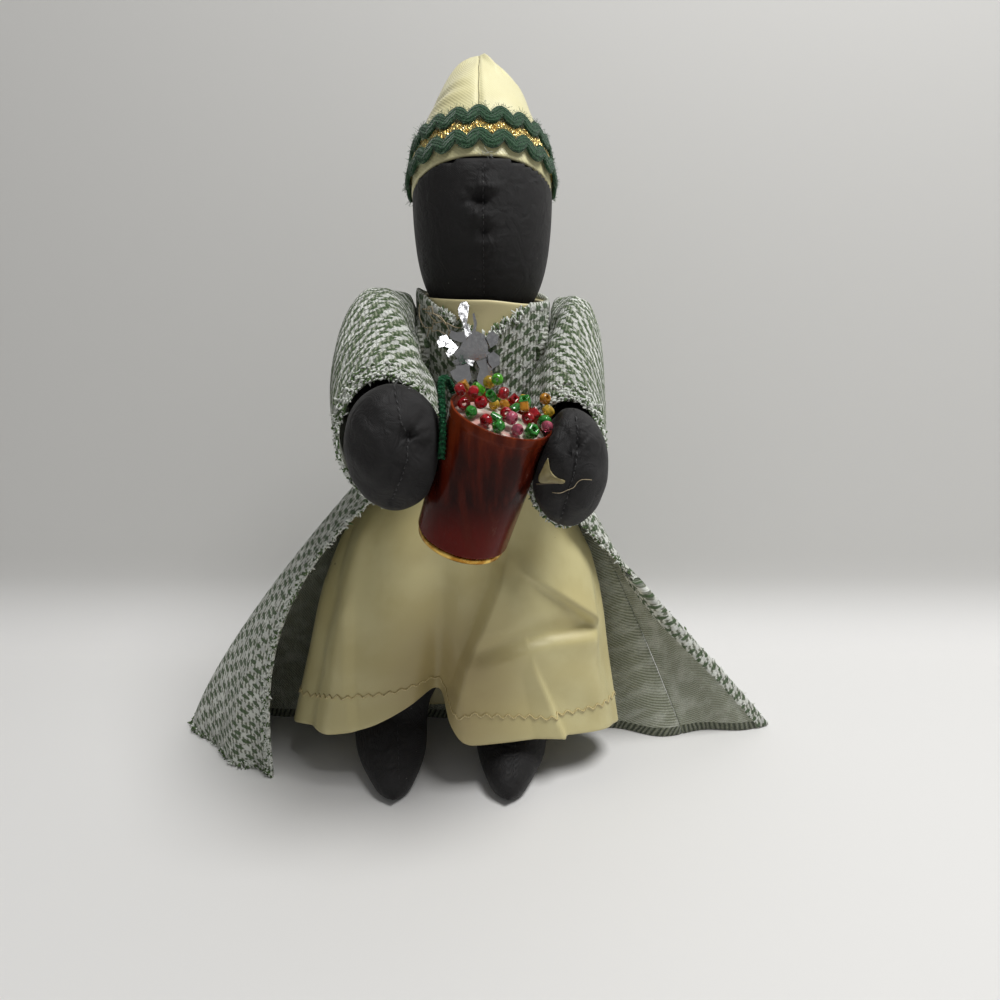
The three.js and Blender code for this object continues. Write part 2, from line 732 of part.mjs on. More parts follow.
const sleeveRoot = coatHalfWidth + 0.6;
const rightSleeveRings = [
  [sleeveRoot, 0, 188, 0.06, 1, 19, 20],
  [sleeveRoot + 3, -2, 189.5, 0.3, 0.95, 21.5, 25.5],
  [sleeveRoot + 11.3, -8, 189.5, 0.76, 0.65, 20.5, 27.5],
  [41.7, -20, 186, 0.98, 0.2, 17.7, 28.5],
  [38.7, -31, 178, 1, 0, 20.7, 27.5],
  [36.7, -41, 169.5, 1, 0, 20.7, 26.5],
  [34.3, -50, 163.3, 1, 0, 19.8, 25],
];
const leftSleeveRings = [
  [sleeveRoot + 0.2, 0, 188.2, 0.08, 0.995, 18, 19.2],
  [sleeveRoot + 3, -2, 188.5, 0.3, 0.95, 19.5, 24],
  [sleeveRoot + 8, -9, 187.5, 0.76, 0.65, 15, 26.5],
  [36, -21, 182.5, 0.98, 0.2, 13, 28],
  [33, -31, 173.5, 1, 0, 15.2, 27.5],
  [32.5, -41, 163.5, 1, 0, 15.2, 26.5],
  [31.7, -50, 155.5, 1, 0, 14.8, 25.3],
];
const bodiceDrum = barAlongX(28.4, -coatHalfWidth - 0.4, coatHalfWidth + 0.4, shoulderHeight);
const creaseRight = THREE.MathUtils.degToRad(150);
const creaseLeft = THREE.MathUtils.degToRad(140);
const rightSleeve = sleeve(-1, rightSleeveRings, creaseRight);
const leftSleeve = sleeve(1, leftSleeveRings, creaseLeft);
addPiece("coat_right_sleeve", cutBy(rightSleeve, bodiceDrum, cupSpace), tweed);
addPiece("coat_left_sleeve", cutBy(leftSleeve, bodiceDrum, cupSpace), tweed);

// Foil star on the chest, its arms bent a little forward

const starPlace = point(-3, -coatHalfDepth - seam, 194);
const starThickness = 0.7;
const starOutline = new THREE.Shape();
const starSteps = 48;
for (let i = 0; i < starSteps; i += 1) {
  const angle = (2 * Math.PI * i) / starSteps;
  const lobes = 0.62 + 0.38 * Math.abs(Math.cos(3 * angle)) ** 0.8;
  const x = 12 * lobes * Math.sin(angle);
  const z = 15 * lobes * Math.cos(angle);
  if (i === 0) {
    starOutline.moveTo(x, z);
  } else {
    starOutline.lineTo(x, z);
  }
}
const star = new THREE.ExtrudeGeometry(starOutline, { depth: starThickness, bevelEnabled: false });
star.rotateX(Math.PI / 2);
addPiece("foil_star", star.translate(starPlace.x, starPlace.y, starPlace.z), silverFoil);

// Green metallic cord: from the beads over the rim and down between hand and cup

const cordRadius = 1.4;
const cordRoute = [
  [-9.9, -52.5, 183.5],
  [-12.1, -55.5, 188.5],
  [-13.5, -60.5, 188.5],
  [-13.1, -66.5, 183],
  [-12.7, -70.8, 173],
  [-13.3, -72.6, 164],
];
const cordCurve = new THREE.CatmullRomCurve3(cordRoute.map((stop) => point(...stop)));
const cordSection = new THREE.Shape();
cordSection.absarc(0, 0, cordRadius, 0, 2 * Math.PI, false);
const cordBody = new THREE.ExtrudeGeometry(cordSection, {
  extrudePath: cordCurve,
  steps: 16,
  bevelEnabled: false,
  curveSegments: 4,
});
addPiece("green_cord", cordBody, greenCord);

// The frame's origin: the middle of the doll's bounding box, on the floor
const box = new THREE.Box3().setFromObject(doll);
const middle = box.getCenter(new THREE.Vector3());
doll.position.set(-middle.x, -middle.y, -box.min.z);

export default doll;
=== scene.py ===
import math

import bpy
import numpy as np
from mathutils import Matrix, Vector


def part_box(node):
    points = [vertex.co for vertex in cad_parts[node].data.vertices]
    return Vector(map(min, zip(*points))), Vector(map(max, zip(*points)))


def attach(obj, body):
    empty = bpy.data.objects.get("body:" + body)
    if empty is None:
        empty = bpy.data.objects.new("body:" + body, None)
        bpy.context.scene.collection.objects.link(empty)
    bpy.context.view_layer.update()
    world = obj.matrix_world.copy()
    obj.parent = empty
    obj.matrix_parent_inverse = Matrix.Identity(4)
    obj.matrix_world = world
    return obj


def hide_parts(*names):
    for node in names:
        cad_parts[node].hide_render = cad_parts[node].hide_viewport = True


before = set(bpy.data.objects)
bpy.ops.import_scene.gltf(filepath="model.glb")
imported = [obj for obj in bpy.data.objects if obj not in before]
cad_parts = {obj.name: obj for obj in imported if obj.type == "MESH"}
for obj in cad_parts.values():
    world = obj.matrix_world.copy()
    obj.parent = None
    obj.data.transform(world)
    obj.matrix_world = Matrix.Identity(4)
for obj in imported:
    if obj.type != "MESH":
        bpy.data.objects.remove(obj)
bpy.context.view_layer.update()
scene = bpy.context.scene

# The doll stands on a plain pale sweep, seen from a little above and close by.
# Millimetres are counted from the foot of the upright line through the neck, which is round.
neck_low, neck_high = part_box("neck")
doll_foot = np.array([(neck_low.x + neck_high.x) / 2, (neck_low.y + neck_high.y) / 2, 0.0])


def in_frame(points):
    """Millimetres from the doll's foot point, as metres in the CAD frame."""
    return np.asarray(points, float) * 0.001 + doll_foot


camera_looks_down = 19.5  # degrees
camera_data = bpy.data.cameras.new("camera")
camera_data.sensor_width = 36
camera_data.lens = 27.9
camera = bpy.data.objects.new("camera", camera_data)
camera.location = in_frame((7, -330, 240))
camera.rotation_euler = (math.radians(90 - camera_looks_down), 0, 0)
scene.collection.objects.link(camera)
scene.camera = camera

# Black stuffed body: a cotton skin sewn round a filling. The torso is hidden by the gown.
# It carries the neck, the legs, the arms and all the clothes.


def wire(tree, kind, inputs=None, output=0, **settings):
    """Adds one shader node, fills its sockets with values or links, and returns one of its outputs."""
    node = tree.nodes.new("ShaderNode" + kind)
    for name, value in settings.items():
        setattr(node, name, value)
    for name, value in (inputs or {}).items():
        if isinstance(value, bpy.types.NodeSocket):
            tree.links.new(value, node.inputs[name])
        else:
            node.inputs[name].default_value = value
    return node.outputs[output]


def maths(tree, operation, first, second=0.0, third=0.0):
    """One sum on shader values."""
    return wire(tree, "Math", {0: first, 1: second, 2: third}, operation=operation)


def between(tree, value, low, high, to_low=0.0, to_high=1.0):
    """A soft step: to_low where value is low, to_high where it is high."""
    limits = {"Value": value, "From Min": low, "From Max": high, "To Min": to_low, "To Max": to_high}
    return wire(tree, "MapRange", limits, interpolation_type="SMOOTHSTEP")


def dye(tree, share, first, second):
    """Mixes two colours by a share from 0 to 1."""
    return wire(tree, "Mix", {0: share, 6: first, 7: second}, 2, data_type="RGBA")


def by_place(tree):
    """Where each point is, in metres, for finishes that don't follow a cloth."""
    return wire(tree, "TexCoord", output=3)


def x_y_z(tree, place):
    """The three parts of a place."""
    return wire(tree, "SeparateXYZ", {0: place}).node.outputs


def mottle(tree, place, scale, detail=2.0):
    """Soft random cloudiness from 0 to 1, finer with a higher scale and rougher with more detail."""
    return wire(tree, "TexNoise", {"Vector": place, "Scale": scale, "Detail": detail})


def cells(tree, place, scale):
    """Random cells: how far a point is from its cell's middle, and a random value for each cell."""
    found = wire(tree, "TexVoronoi", {"Vector": place, "Scale": scale}).node.outputs
    return found["Distance"], wire(tree, "SeparateColor", {"Color": found["Color"]})


def tint(red, green, blue):
    """A colour as a screen shows it, 0 to 255, turned into the linear values a shader takes."""
    linear = [((c / 255 + 0.055) / 1.055) ** 2.4 if c > 10 else c / 255 / 12.92 for c in (red, green, blue)]
    return (*linear, 1.0)


def effect(name, inputs, outputs):
    """Starts a node group with named inputs and outputs, and returns it with its two ends."""
    tree = bpy.data.node_groups.new(name, "ShaderNodeTree")
    for label, value in inputs.items():
        kind = "NodeSocketVector" if isinstance(value, tuple) else "NodeSocketFloat"
        tree.interface.new_socket(label, in_out="INPUT", socket_type=kind).default_value = value
    for label in outputs:
        tree.interface.new_socket(label, in_out="OUTPUT", socket_type="NodeSocketFloat")
    return tree, tree.nodes.new("NodeGroupInput").outputs, tree.nodes.new("NodeGroupOutput").inputs


def apply_effect(tree, group, **inputs):
    """Places an effect in a material with its own values. Underscores in a name stand for spaces."""
    node = tree.nodes.new("ShaderNodeGroup")
    node.node_tree = group
    for name, value in inputs.items():
        socket = node.inputs[name.replace("_", " ")]
        if isinstance(value, bpy.types.NodeSocket):
            tree.links.new(value, socket)
        else:
            socket.default_value = value
    return node.outputs


def new_finish(name, **plain):
    """A material and its Principled shader, with the plain numbers set on the shader's own sockets."""
    material = bpy.data.materials.new(name)
    material.use_nodes = True
    shader = material.node_tree.nodes["Principled BSDF"]
    for label, value in plain.items():
        shader.inputs[label.replace("_", " ")].default_value = value
    return material, material.node_tree, shader.inputs


def paint(tree, sockets, colour):
    """Feeds a colour to the shader."""
    tree.links.new(colour, sockets["Base Color"])


def raise_up(tree, sockets, height, depth):
    """Feeds a height from 0 to 1 to the shader as relief of a real depth in metres."""
    bump = {"Height": height, "Distance": depth, "Strength": 1.0}
    tree.links.new(wire(tree, "Bump", bump), sockets["Normal"])


# Threads that cross over and under each other, at a real pitch in metres
weave_tree, weave_in, weave_out = effect("woven_threads", {"Pitch": 0.0005}, ["Height", "Mottle"])
weave_place = by_place(weave_tree)
weave_wobble = mottle(weave_tree, weave_place, 900.0, 1.0)
weave_x, weave_y, weave_z = x_y_z(weave_tree, weave_place)
weave_turns = maths(weave_tree, "DIVIDE", 2 * math.pi, weave_in["Pitch"])
weave_across = maths(weave_tree, "MULTIPLY_ADD", weave_y, 0.6, weave_x)
weave_up = maths(weave_tree, "MULTIPLY_ADD", weave_y, -0.5, weave_z)
weave_waves = []
for way in (weave_across, weave_up):
    phase = maths(weave_tree, "MULTIPLY_ADD", way, weave_turns, weave_wobble)
    weave_waves.append(maths(weave_tree, "SINE", phase))
weave_product = maths(weave_tree, "MULTIPLY", *weave_waves)
weave_tree.links.new(maths(weave_tree, "MULTIPLY_ADD", weave_product, 0.5, 0.5), weave_out["Height"])
weave_mottle = mottle(weave_tree, weave_place, 70.0, 4.0)
weave_tree.links.new(weave_mottle, weave_out["Mottle"])

# Small separate specks such as lint or dirt: size and spacing in metres, and the share of places with one
speck_tree, speck_in, speck_out = effect("specks", {"Spacing": 0.004, "Size": 0.0004, "Share": 0.3}, ["Mask"])
speck_scale = maths(speck_tree, "DIVIDE", 1.0, speck_in["Spacing"])
speck_away, speck_chance = cells(speck_tree, by_place(speck_tree), speck_scale)
speck_reach = maths(speck_tree, "MULTIPLY", speck_in["Size"], speck_scale)
speck_near = maths(speck_tree, "LESS_THAN", speck_away, speck_reach)
speck_some = maths(speck_tree, "LESS_THAN", speck_chance, speck_in["Share"])
speck_tree.links.new(maths(speck_tree, "MULTIPLY", speck_near, speck_some), speck_out["Mask"])

cotton, tree, sockets = new_finish("black_cotton", Roughness=0.58, Sheen_Weight=0.05, Sheen_Roughness=0.4,
                                   Specular_IOR_Level=0.36)
threads = apply_effect(tree, weave_tree, Pitch=0.00055)
lint = apply_effect(tree, speck_tree, Spacing=0.0035, Size=0.00022, Share=0.16)
skin = dye(tree, threads["Mottle"], tint(9, 8, 9), tint(25, 23, 23))
skin = dye(tree, maths(tree, "MULTIPLY", threads["Height"], 0.5), skin, tint(34, 32, 32))
paint(tree, sockets, dye(tree, lint["Mask"], skin, tint(96, 94, 90)))
crease_size = {"Vector": by_place(tree), "Scale": 150.0, "Detail": 4.0, "Distortion": 1.5}
creases = wire(tree, "TexNoise", crease_size)
raise_up(tree, sockets, maths(tree, "MULTIPLY_ADD", creases, 7.0, threads["Height"]), 0.00012)


def flowing(rows, keys):
    """Reads rows of [key, value, value ...] at many keys, on a smooth curve through the rows."""
    rows = np.asarray(rows, float)
    at, values = rows[:, 0], rows[:, 1:]
    slopes = np.gradient(values, at, axis=0)
    i = np.clip(np.searchsorted(at, keys, side="right") - 1, 0, len(at) - 2)
    gap = (at[i + 1] - at[i])[:, None]
    t = (np.asarray(keys, float)[:, None] - at[i][:, None]) / gap
    start, end = values[i], values[i + 1]
    rise, fall = slopes[i] * gap, slopes[i + 1] * gap
    return (start * (2 * t**3 - 3 * t**2 + 1) + rise * (t**3 - 2 * t**2 + t)
            + end * (3 * t**2 - 2 * t**3) + fall * (t**3 - t**2))


def smoothly(low, high, value):
    """0 below low, 1 above high and a soft step between."""
    t = np.clip((np.asarray(value, float) - low) / (high - low), 0, 1)
    return t * t * (3 - 2 * t)


def bell(away, width):
    """1 where away is nothing, and softly less over a width to both sides."""
    return np.exp(-((away / width) ** 2))


def unit(vectors):
    return vectors / np.maximum(np.linalg.norm(vectors, axis=-1, keepdims=True), 1e-9)


def add_piece(name, points, faces, materials, flat_map=None, regions=None):
    """A mesh from points in millimetres. flat_map gives each face corner its place on the flat cloth,
    and regions the number of each face's material."""
    mesh = bpy.data.meshes.new(name)
    mesh.from_pydata(in_frame(points).tolist(), [], [list(map(int, face)) for face in faces])
    for material in materials if isinstance(materials, list) else [materials]:
        mesh.materials.append(material)
    if flat_map is not None:
        layer = mesh.uv_layers.new(name="flat_cloth")
        layer.data.foreach_set("uv", np.asarray(flat_map, np.float32).ravel())
    if regions is not None:
        mesh.polygons.foreach_set("material_index", np.asarray(regions, np.int32))
    mesh.shade_smooth()
    piece = bpy.data.objects.new(name, mesh)
    scene.collection.objects.link(piece)
    return piece


def stuffed(name, rings, first_tip, last_tip, material=cotton):
    """A closed padded form through rings of points, [ring][place], with a point at each end."""
    count, around = rings.shape[:2]
    points = np.vstack([rings.reshape(-1, 3), [first_tip, last_tip]])
    faces = []
    for ring in range(count - 1):
        low, high = ring * around, (ring + 1) * around
        for i in range(around):
            j = (i + 1) % around
            faces.append([low + i, low + j, high + j, high + i])
    last = (count - 1) * around
    for i in range(around):
        j = (i + 1) % around
        faces.append([count * around, j, i])
        faces.append([count * around + 1, last + i, last + j])
    piece = add_piece(name, points, faces, material)
    mesh = piece.data
    centre = Vector(in_frame(points.mean(0)))
    outward = sum((p.center - centre).dot(p.normal) * p.area for p in mesh.polygons)
    if outward < 0:
        mesh.flip_normals()
    return piece


def all_round(count):
    """Angles at equal steps round a circle."""
    return np.linspace(0, 2 * math.pi, count, endpoint=False)


def turned_rows(rows, keys, around):
    """Oval rings from rows of [height, half width, half depth, middle y], read at keys."""
    angles = all_round(around)
    read = flowing(rows, keys)
    rings = np.zeros((len(keys), around, 3))
    rings[:, :, 0] = read[:, 0:1] * np.cos(angles)
    rings[:, :, 1] = read[:, 2:3] + read[:, 1:2] * np.sin(angles)
    rings[:, :, 2] = np.asarray(keys)[:, None]
    return rings


def push_out(points, centre, radius):
    """Moves points that are inside a ball onto it."""
    away = points - np.asarray(centre, float)
    far = np.linalg.norm(away, axis=-1, keepdims=True)
    return np.where(far < radius, np.asarray(centre) + away / np.maximum(far, 1e-6) * radius, points)


simulation_scale = 8.0
simulation_frames = 20
stuffing_pressure = 4.0


def plump(piece, most, slack=0.0):
    """Blows a stuffed piece up in a cloth simulation, so that its skin settles as sewn cotton does.
    No point moves further than most, in millimetres."""
    trial = piece.copy()
    trial.data = piece.data.copy()
    scene.collection.objects.link(trial)
    trial.data.transform(Matrix.Scale(simulation_scale, 4))
    cloth = trial.modifiers.new("plump", "CLOTH")
    cloth.settings.quality = 5
    cloth.settings.mass = 0.3
    cloth.settings.tension_stiffness = 12
    cloth.settings.compression_stiffness = 12
    cloth.settings.shear_stiffness = 6
    cloth.settings.bending_stiffness = 0.4
    cloth.settings.shrink_min = slack
    cloth.settings.use_pressure = True
    cloth.settings.uniform_pressure_force = stuffing_pressure
    cloth.settings.effector_weights.gravity = 0
    cloth.point_cache.frame_start = 1
    cloth.point_cache.frame_end = simulation_frames
    for step in range(1, simulation_frames + 1):
        scene.frame_set(step)
    settled = trial.evaluated_get(bpy.context.evaluated_depsgraph_get()).to_mesh()
    after = np.empty(len(settled.vertices) * 3)
    settled.vertices.foreach_get("co", after)
    before = np.empty(len(piece.data.vertices) * 3)
    piece.data.vertices.foreach_get("co", before)
    move = (after / simulation_scale - before).reshape(-1, 3)
    move -= move.mean(0)
    far = np.linalg.norm(move, axis=1, keepdims=True)
    move *= np.minimum(1, most * 0.001 / np.maximum(far, 1e-9))
    piece.data.vertices.foreach_set("co", (before.reshape(-1, 3) + move).ravel())
    piece.data.update()
    bpy.data.objects.remove(trial)
    scene.frame_set(1)


def smoothed(piece):
    """One subdivision, applied, so that the kept mesh is the soft form."""
    soften = piece.modifiers.new("soften", "SUBSURF")
    soften.levels = soften.render_levels = 1
    with bpy.context.temp_override(object=piece, active_object=piece, selected_objects=[piece]):
        bpy.ops.object.modifier_apply(modifier=soften.name)
    piece.data.shade_smooth()


def reshape(piece, change):
    """Moves the points of a piece: change takes and returns millimetres in the doll's own frame."""
    flat = np.empty(len(piece.data.vertices) * 3)
    piece.data.vertices.foreach_get("co", flat)
    points = (flat.reshape(-1, 3) - doll_foot) * 1000
    piece.data.vertices.foreach_set("co", in_frame(change(points)).ravel())
    piece.data.update()


def padded_piece(piece, node, body):
    """Ties a stuffed piece to its body and hides the solid that it dresses."""
    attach(piece, body)
    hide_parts(node)


hips = [(-12.5, -3, 70), (12.5, -3, 70)]
hip_radius = 11.1
# Rows: height, half width, half depth, middle y
torso_rows = [
    [74, 15, 10, -3],
    [77, 20.5, 13.5, -3],
    [84, 23, 16, -3],
    [104, 23.2, 17.6, -2],
    [142, 22.8, 18.8, 0],
    [175, 22.9, 18.8, 0],
    [187, 22.9, 18.3, 0],
    [192.5, 20.6, 16.3, 0],
    [196, 15.3, 13.3, 0],
]
torso_keys = np.r_[74, 75.5, 77, 80, np.linspace(84, 187, 20), 190, 192.5, 194.5, 196]
torso = stuffed("torso_stuffed", turned_rows(torso_rows, torso_keys, 48), (0, -3, 74), (0, 0, 196))
plump(torso, 0.3)


def over_the_hips(points):
    for hip in hips:
        points = push_out(points, hip, hip_radius)
    return points


reshape(torso, over_the_hips)
padded_piece(torso, "torso", "root")

# Neck: a short stuffed stub sewn to the top of the torso. Its round top is what the head nods on.
nod_height = 205  # the middle of the neck's ball
neck_radius = 13.9
neck_angles = np.linspace(-math.acos(12.5 / 14), math.pi / 2, 13)[:-1]
neck_profile = [(12.0, 196.4)]
neck_profile += [(neck_radius * math.cos(a), nod_height + neck_radius * math.sin(a)) for a in neck_angles]


def rings_of(profile, around):
    """Round rings from a profile of (radius, height)."""
    return np.array([[(r * math.cos(a), r * math.sin(a), z) for a in all_round(around)] for r, z in profile])


neck_rings = rings_of(neck_profile, 40)
neck = stuffed("neck_stuffed", neck_rings, (0, 0, 196.35), (0, 0, 218.9))
padded_piece(neck, "neck", "neck")

# Cap's shape, needed here because the crown of the head is held inside it.
# The cap stands on a line that is tipped back and leans a little to the doll's right.
cap_middle = np.array([-0.3, 1, 250.5])
cap_tilt = math.radians(31)
cap_lean = math.radians(-1.2)
cap_depth_share = 0.975
cap_height = 62.8
# Outer profile above the brim: [height, radius]
cap_profile = [[0, 27.7], [5, 27.7], [17, 25.9], [27.5, 23.6], [38.5, 19.4], [49, 14], [56, 9.4], [61, 4.5]]
lean_turn = np.array(Matrix.Rotation(cap_lean, 3, "Y") @ Matrix.Rotation(-cap_tilt, 3, "X"))


def on_cap(points):
    return np.asarray(points, float) @ lean_turn.T + cap_middle


def off_cap(points):
    return (np.asarray(points, float) - cap_middle) @ lean_turn


def cap_radius(height):
    heights, radii = zip(*cap_profile, (cap_height, 0.6))
    return np.interp(height, heights, radii)


# Head: two pieces of black cotton sewn down the middle and stuffed, with no face.
# A stitch pulled in makes the dimple, and a short fold under it stands where a nose would be.
# Rows: height, half width, half depth, middle y
head_rows = [
    [205.6, 15.9, 13.9, 0],
    [207.5, 18.2, 16.1, 0],
    [211, 20.8, 18.5, 0],
    [216, 23.1, 20.5, 0],
    [225, 25.5, 23.1, 0],
    [234, 26.6, 24.3, -0.3],
    [244, 27.1, 24.8, -0.5],
    [253, 26.9, 24.8, -0.2],
    [262, 25.5, 24.1, 0.5],
    [270, 21.9, 21.4, 3],
    [277, 15.9, 16.4, 6],
    [282, 8.9, 9.4, 9],
]
head_seam = 0.8  # how far the seam stands to the side of the middle
dimple_x, dimple_z = -0.9, 249.4
socket_radius = 14.6  # the hollow in the head's base, over the ball of the neck
socket_steps = np.linspace(math.pi / 2, 0.04, 9)[1:]
socket_arc = [(socket_radius * math.cos(e), nod_height + socket_radius * math.sin(e)) for e in socket_steps]
socket = rings_of(socket_arc, 72)
face_keys = np.linspace(216, 262, 22)
head_keys = np.r_[205.6, 206.5, 207.5, 209, 211, 213.5, face_keys, 266, 270, 274, 277, 280, 282]
head_rings = np.concatenate([socket, turned_rows(head_rows, head_keys, 72)])
head = stuffed("head_stuffed", head_rings, (0, 0, 219.6), (0, 10, 284))
plump(head, 1.1, slack=-0.02)
smoothed(head)


def sewn_head(points):
    """Draws the seam, the dimple and the nose's fold into the head, and fits it to the cap and neck."""
    points = points.copy()
    x, y, z = points.T
    front = smoothly(2, -6, y) * smoothly(208, 214, z)
    groove = 0.55 * bell(x - head_seam, 0.9) + 0.25 * bell(x - head_seam, 3.5)
    across, up = x - dimple_x, z - dimple_z
    dimple = 3.0 * bell(across, 2.9) * bell(up, 1.9)
    bulge = 1.7 * bell(x - 3.2, 3.6) * bell(z - 253.6, 2.6)
    nose = 1.5 * bell(x - 0.2, 4.6) * bell(z - 243.2, 3.6)
    fold = 1.5 * bell(x - 1.6, 1.6) * bell(z - 238.2, 1.5)
    chin = 0.9 * bell(x - 1.0, 5.0) * bell(z - 233.5, 3.2)
    rays = 0.3 * np.sin(8 * np.arctan2(up, across)) * bell(np.hypot(across, up) - 4.5, 2.6)
    pucker = 0.2 * np.sin(z * 1.9 + 0.8 * np.sin(x)) * bell(x - head_seam, 5.5)
    drawn = front * (groove + dimple + fold - bulge - nose - chin + rays + pucker)
    outward = unit(np.c_[x, y, np.zeros_like(x)])
    points -= outward * drawn[:, None]
    # the crown stays inside the cap and the base off the neck
    local = off_cap(points)
    far = np.hypot(local[:, 0], local[:, 1] / cap_depth_share)
    room = cap_radius(np.maximum(local[:, 2] + 0.6, 0)) - 1.9
    share = np.where((local[:, 2] > -1) & (far > room), room / np.maximum(far, 1e-6), 1)
    local[:, 0] *= share
    local[:, 1] *= share
    return push_out(on_cap(local), (0, 0, nod_height), socket_radius - 0.3)


reshape(head, sewn_head)
padded_piece(head, "head", "head")


def surface_of(piece, towards):
    """Finds where a straight line from a point first meets a finished piece, in millimetres,
    and the way the piece faces there."""
    bpy.context.view_layer.update()

    def meet(point):
        hit, place, normal, _ = piece.ray_cast(Vector(in_frame(point)), Vector(towards))
        if not hit:
            _, place, normal, _ = piece.closest_point_on_mesh(Vector(in_frame(point)))
        return (np.array(place) - doll_foot) * 1000, np.array(normal)
    return meet


def thread(points, radius, sides=6, ends=True):
    """A round thread through points: its mesh points and faces.
    radius is one number, or one for each point."""
    points = np.asarray(points, float)
    along = unit(np.gradient(points, axis=0))
    radius = np.broadcast_to(np.asarray(radius, float), (len(points),))
    side = np.cross(along, [0.31, 0.17, 0.93])
    too_short = np.linalg.norm(side, axis=1, keepdims=True) < 0.05
    side = unit(np.where(too_short, np.cross(along, [1, 0, 0]), side))
    other = np.cross(along, side)
    turn = all_round(sides)
    rings = points[:, None] + radius[:, None, None] * (
        side[:, None] * np.cos(turn)[None, :, None] + other[:, None] * np.sin(turn)[None, :, None])
    vertices = rings.reshape(-1, 3)
    faces = [[low + i, low + sides + i, low + sides + (i + 1) % sides, low + (i + 1) % sides]
             for low in range(0, (len(points) - 1) * sides, sides) for i in range(sides)]
    if ends:
        faces += [list(range(sides)), [(len(points) - 1) * sides + i for i in reversed(range(sides))]]
    return vertices, faces


def threads_piece(name, strands, material):
    """One mesh from many threads, each a pair of points and faces."""
    points, faces, start = [], [], 0
    for vertices, sides in strands:
        points.append(vertices)
        faces += [[start + i for i in face] for face in sides]
        start += len(vertices)
    return add_piece(name, np.vstack(points), faces, material)


def walked(points, power=1):
    """How far along a line of points each of them lies."""
    return np.r_[0, np.cumsum(np.linalg.norm(np.diff(points, axis=0), axis=1) ** power)]


stitch_lift = 0.15


def stitches(places, nearest, pitch, length, thick):
    """Short stitches laid end to end over a surface, along a line through places."""
    places = np.asarray(places, float)
    steps = walked(places)
    strands = []
    for start in np.arange(0, steps[-1] - length, pitch):
        line = []
        for share in np.linspace(0, 1, 5):
            want = [np.interp(start + share * length, steps, places[:, k]) for k in range(3)]
            place, normal = nearest(want)
            line.append(place + normal * (stitch_lift - 0.5 * thick + thick * math.sin(math.pi * share)))
        strands.append(thread(line, thick * np.array([0.5, 0.9, 1, 0.9, 0.5]), 5))
    return strands


def twisted_thread(name, dark, light, twists, uneven, depth, roughness):
    """Sewing thread, spun from two tones."""
    material, tree, sockets = new_finish(name, Roughness=roughness, Sheen_Weight=0.2)
    twist = wire(tree, "TexWave", {"Vector": by_place(tree), "Scale": twists, "Distortion": uneven}, 1)
    paint(tree, sockets, dye(tree, twist, tint(*dark), tint(*light)))
    raise_up(tree, sockets, twist, depth)
    return material


black_thread = twisted_thread("black_thread", (10, 10, 11), (44, 42, 43), 700.0, 2.0, 0.00005, 0.55)
on_head = surface_of(head, (0, 1, 0))
seam_line = [(head_seam, -40, z) for z in np.arange(215, 263, 1.5)]
head_stitching = threads_piece("head_stitching", stitches(seam_line, on_head, 2.3, 1.3, 0.16), black_thread)
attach(head_stitching, "head")

# Legs: tapering stuffed tubes that end in pointed feet. The soles rest flat on the floor.
# Each hangs from a hip seam under the gown.


def limb_rings(stops, reference, count, around):
    """Oval rings along a smooth path.
    Each stop is [x, y, z, half size along the reference, half size across it]."""
    stops = np.asarray(stops, float)
    steps = walked(stops[:, :3])
    read = flowing(np.c_[steps, stops], np.linspace(0, steps[-1], count))
    along = unit(np.gradient(read[:, :3], axis=0))
    reference = np.asarray(reference, float)
    wide = unit(reference - along * (along @ reference)[:, None])
    deep = np.cross(along, wide)
    turn = all_round(around)
    return (read[:, None, :3]
            + wide[:, None] * (read[:, 3, None] * np.cos(turn))[:, :, None]
            + deep[:, None] * (read[:, 4, None] * np.sin(turn))[:, :, None])


foot_seam = 2.5  # how far the seam lies to the side of the foot's middle


def part_way(start, end, share):
    return start + (end - start) * share


def make_leg(name, hip, ankle, toe):
    """A leg from its hip down to its ankle's x, and forward to its toe's x."""
    hip_x, hip_y, hip_z = hip
    stops = [
        [hip_x, hip_y, 78.5, 5.9, 5.9],
        [hip_x, hip_y, 75.2, 9.0, 9.0],
        [hip_x, hip_y, hip_z, 10.3, 10.3],
        [part_way(hip_x, ankle, 0.22), -5.5, 59, 11.8, 11.3],
        [part_way(hip_x, ankle, 0.6), -8.5, 45, 13.8, 11.8],
        [part_way(hip_x, ankle, 0.9), -12.5, 31, 15.8, 12.3],
        [ankle, -18.5, 19, 16.8, 13.1],
        [part_way(ankle, toe, 0.25), -28.5, 11.6, 15.8, 12.2],
        [part_way(ankle, toe, 0.65), -40, 8.3, 11.8, 8.9],
        [part_way(ankle, toe, 0.95), -49.5, 5.9, 7.3, 6.3],
    ]
    rings = limb_rings(stops, (1, 0, 0), 34, 40)
    leg = stuffed(name, rings, (hip_x, hip_y, 80.3), (toe, -55.6, 4.6))
    plump(leg, 0.8, slack=-0.03)
    smoothed(leg)

    def on_the_floor(points):
        """Draws the foot's seam in and lays its sole flat."""
        points = points.copy()
        middle = np.interp(points[:, 1], [-50, -18], [toe, ankle]) + foot_seam
        seam = 0.35 * bell(points[:, 0] - middle, 1.2)
        points[:, 2] -= seam * smoothly(-12, -22, points[:, 1]) * (points[:, 2] > 6)
        points[:, 2] = np.maximum(points[:, 2], 0.02)
        return points

    reshape(leg, on_the_floor)
    return leg


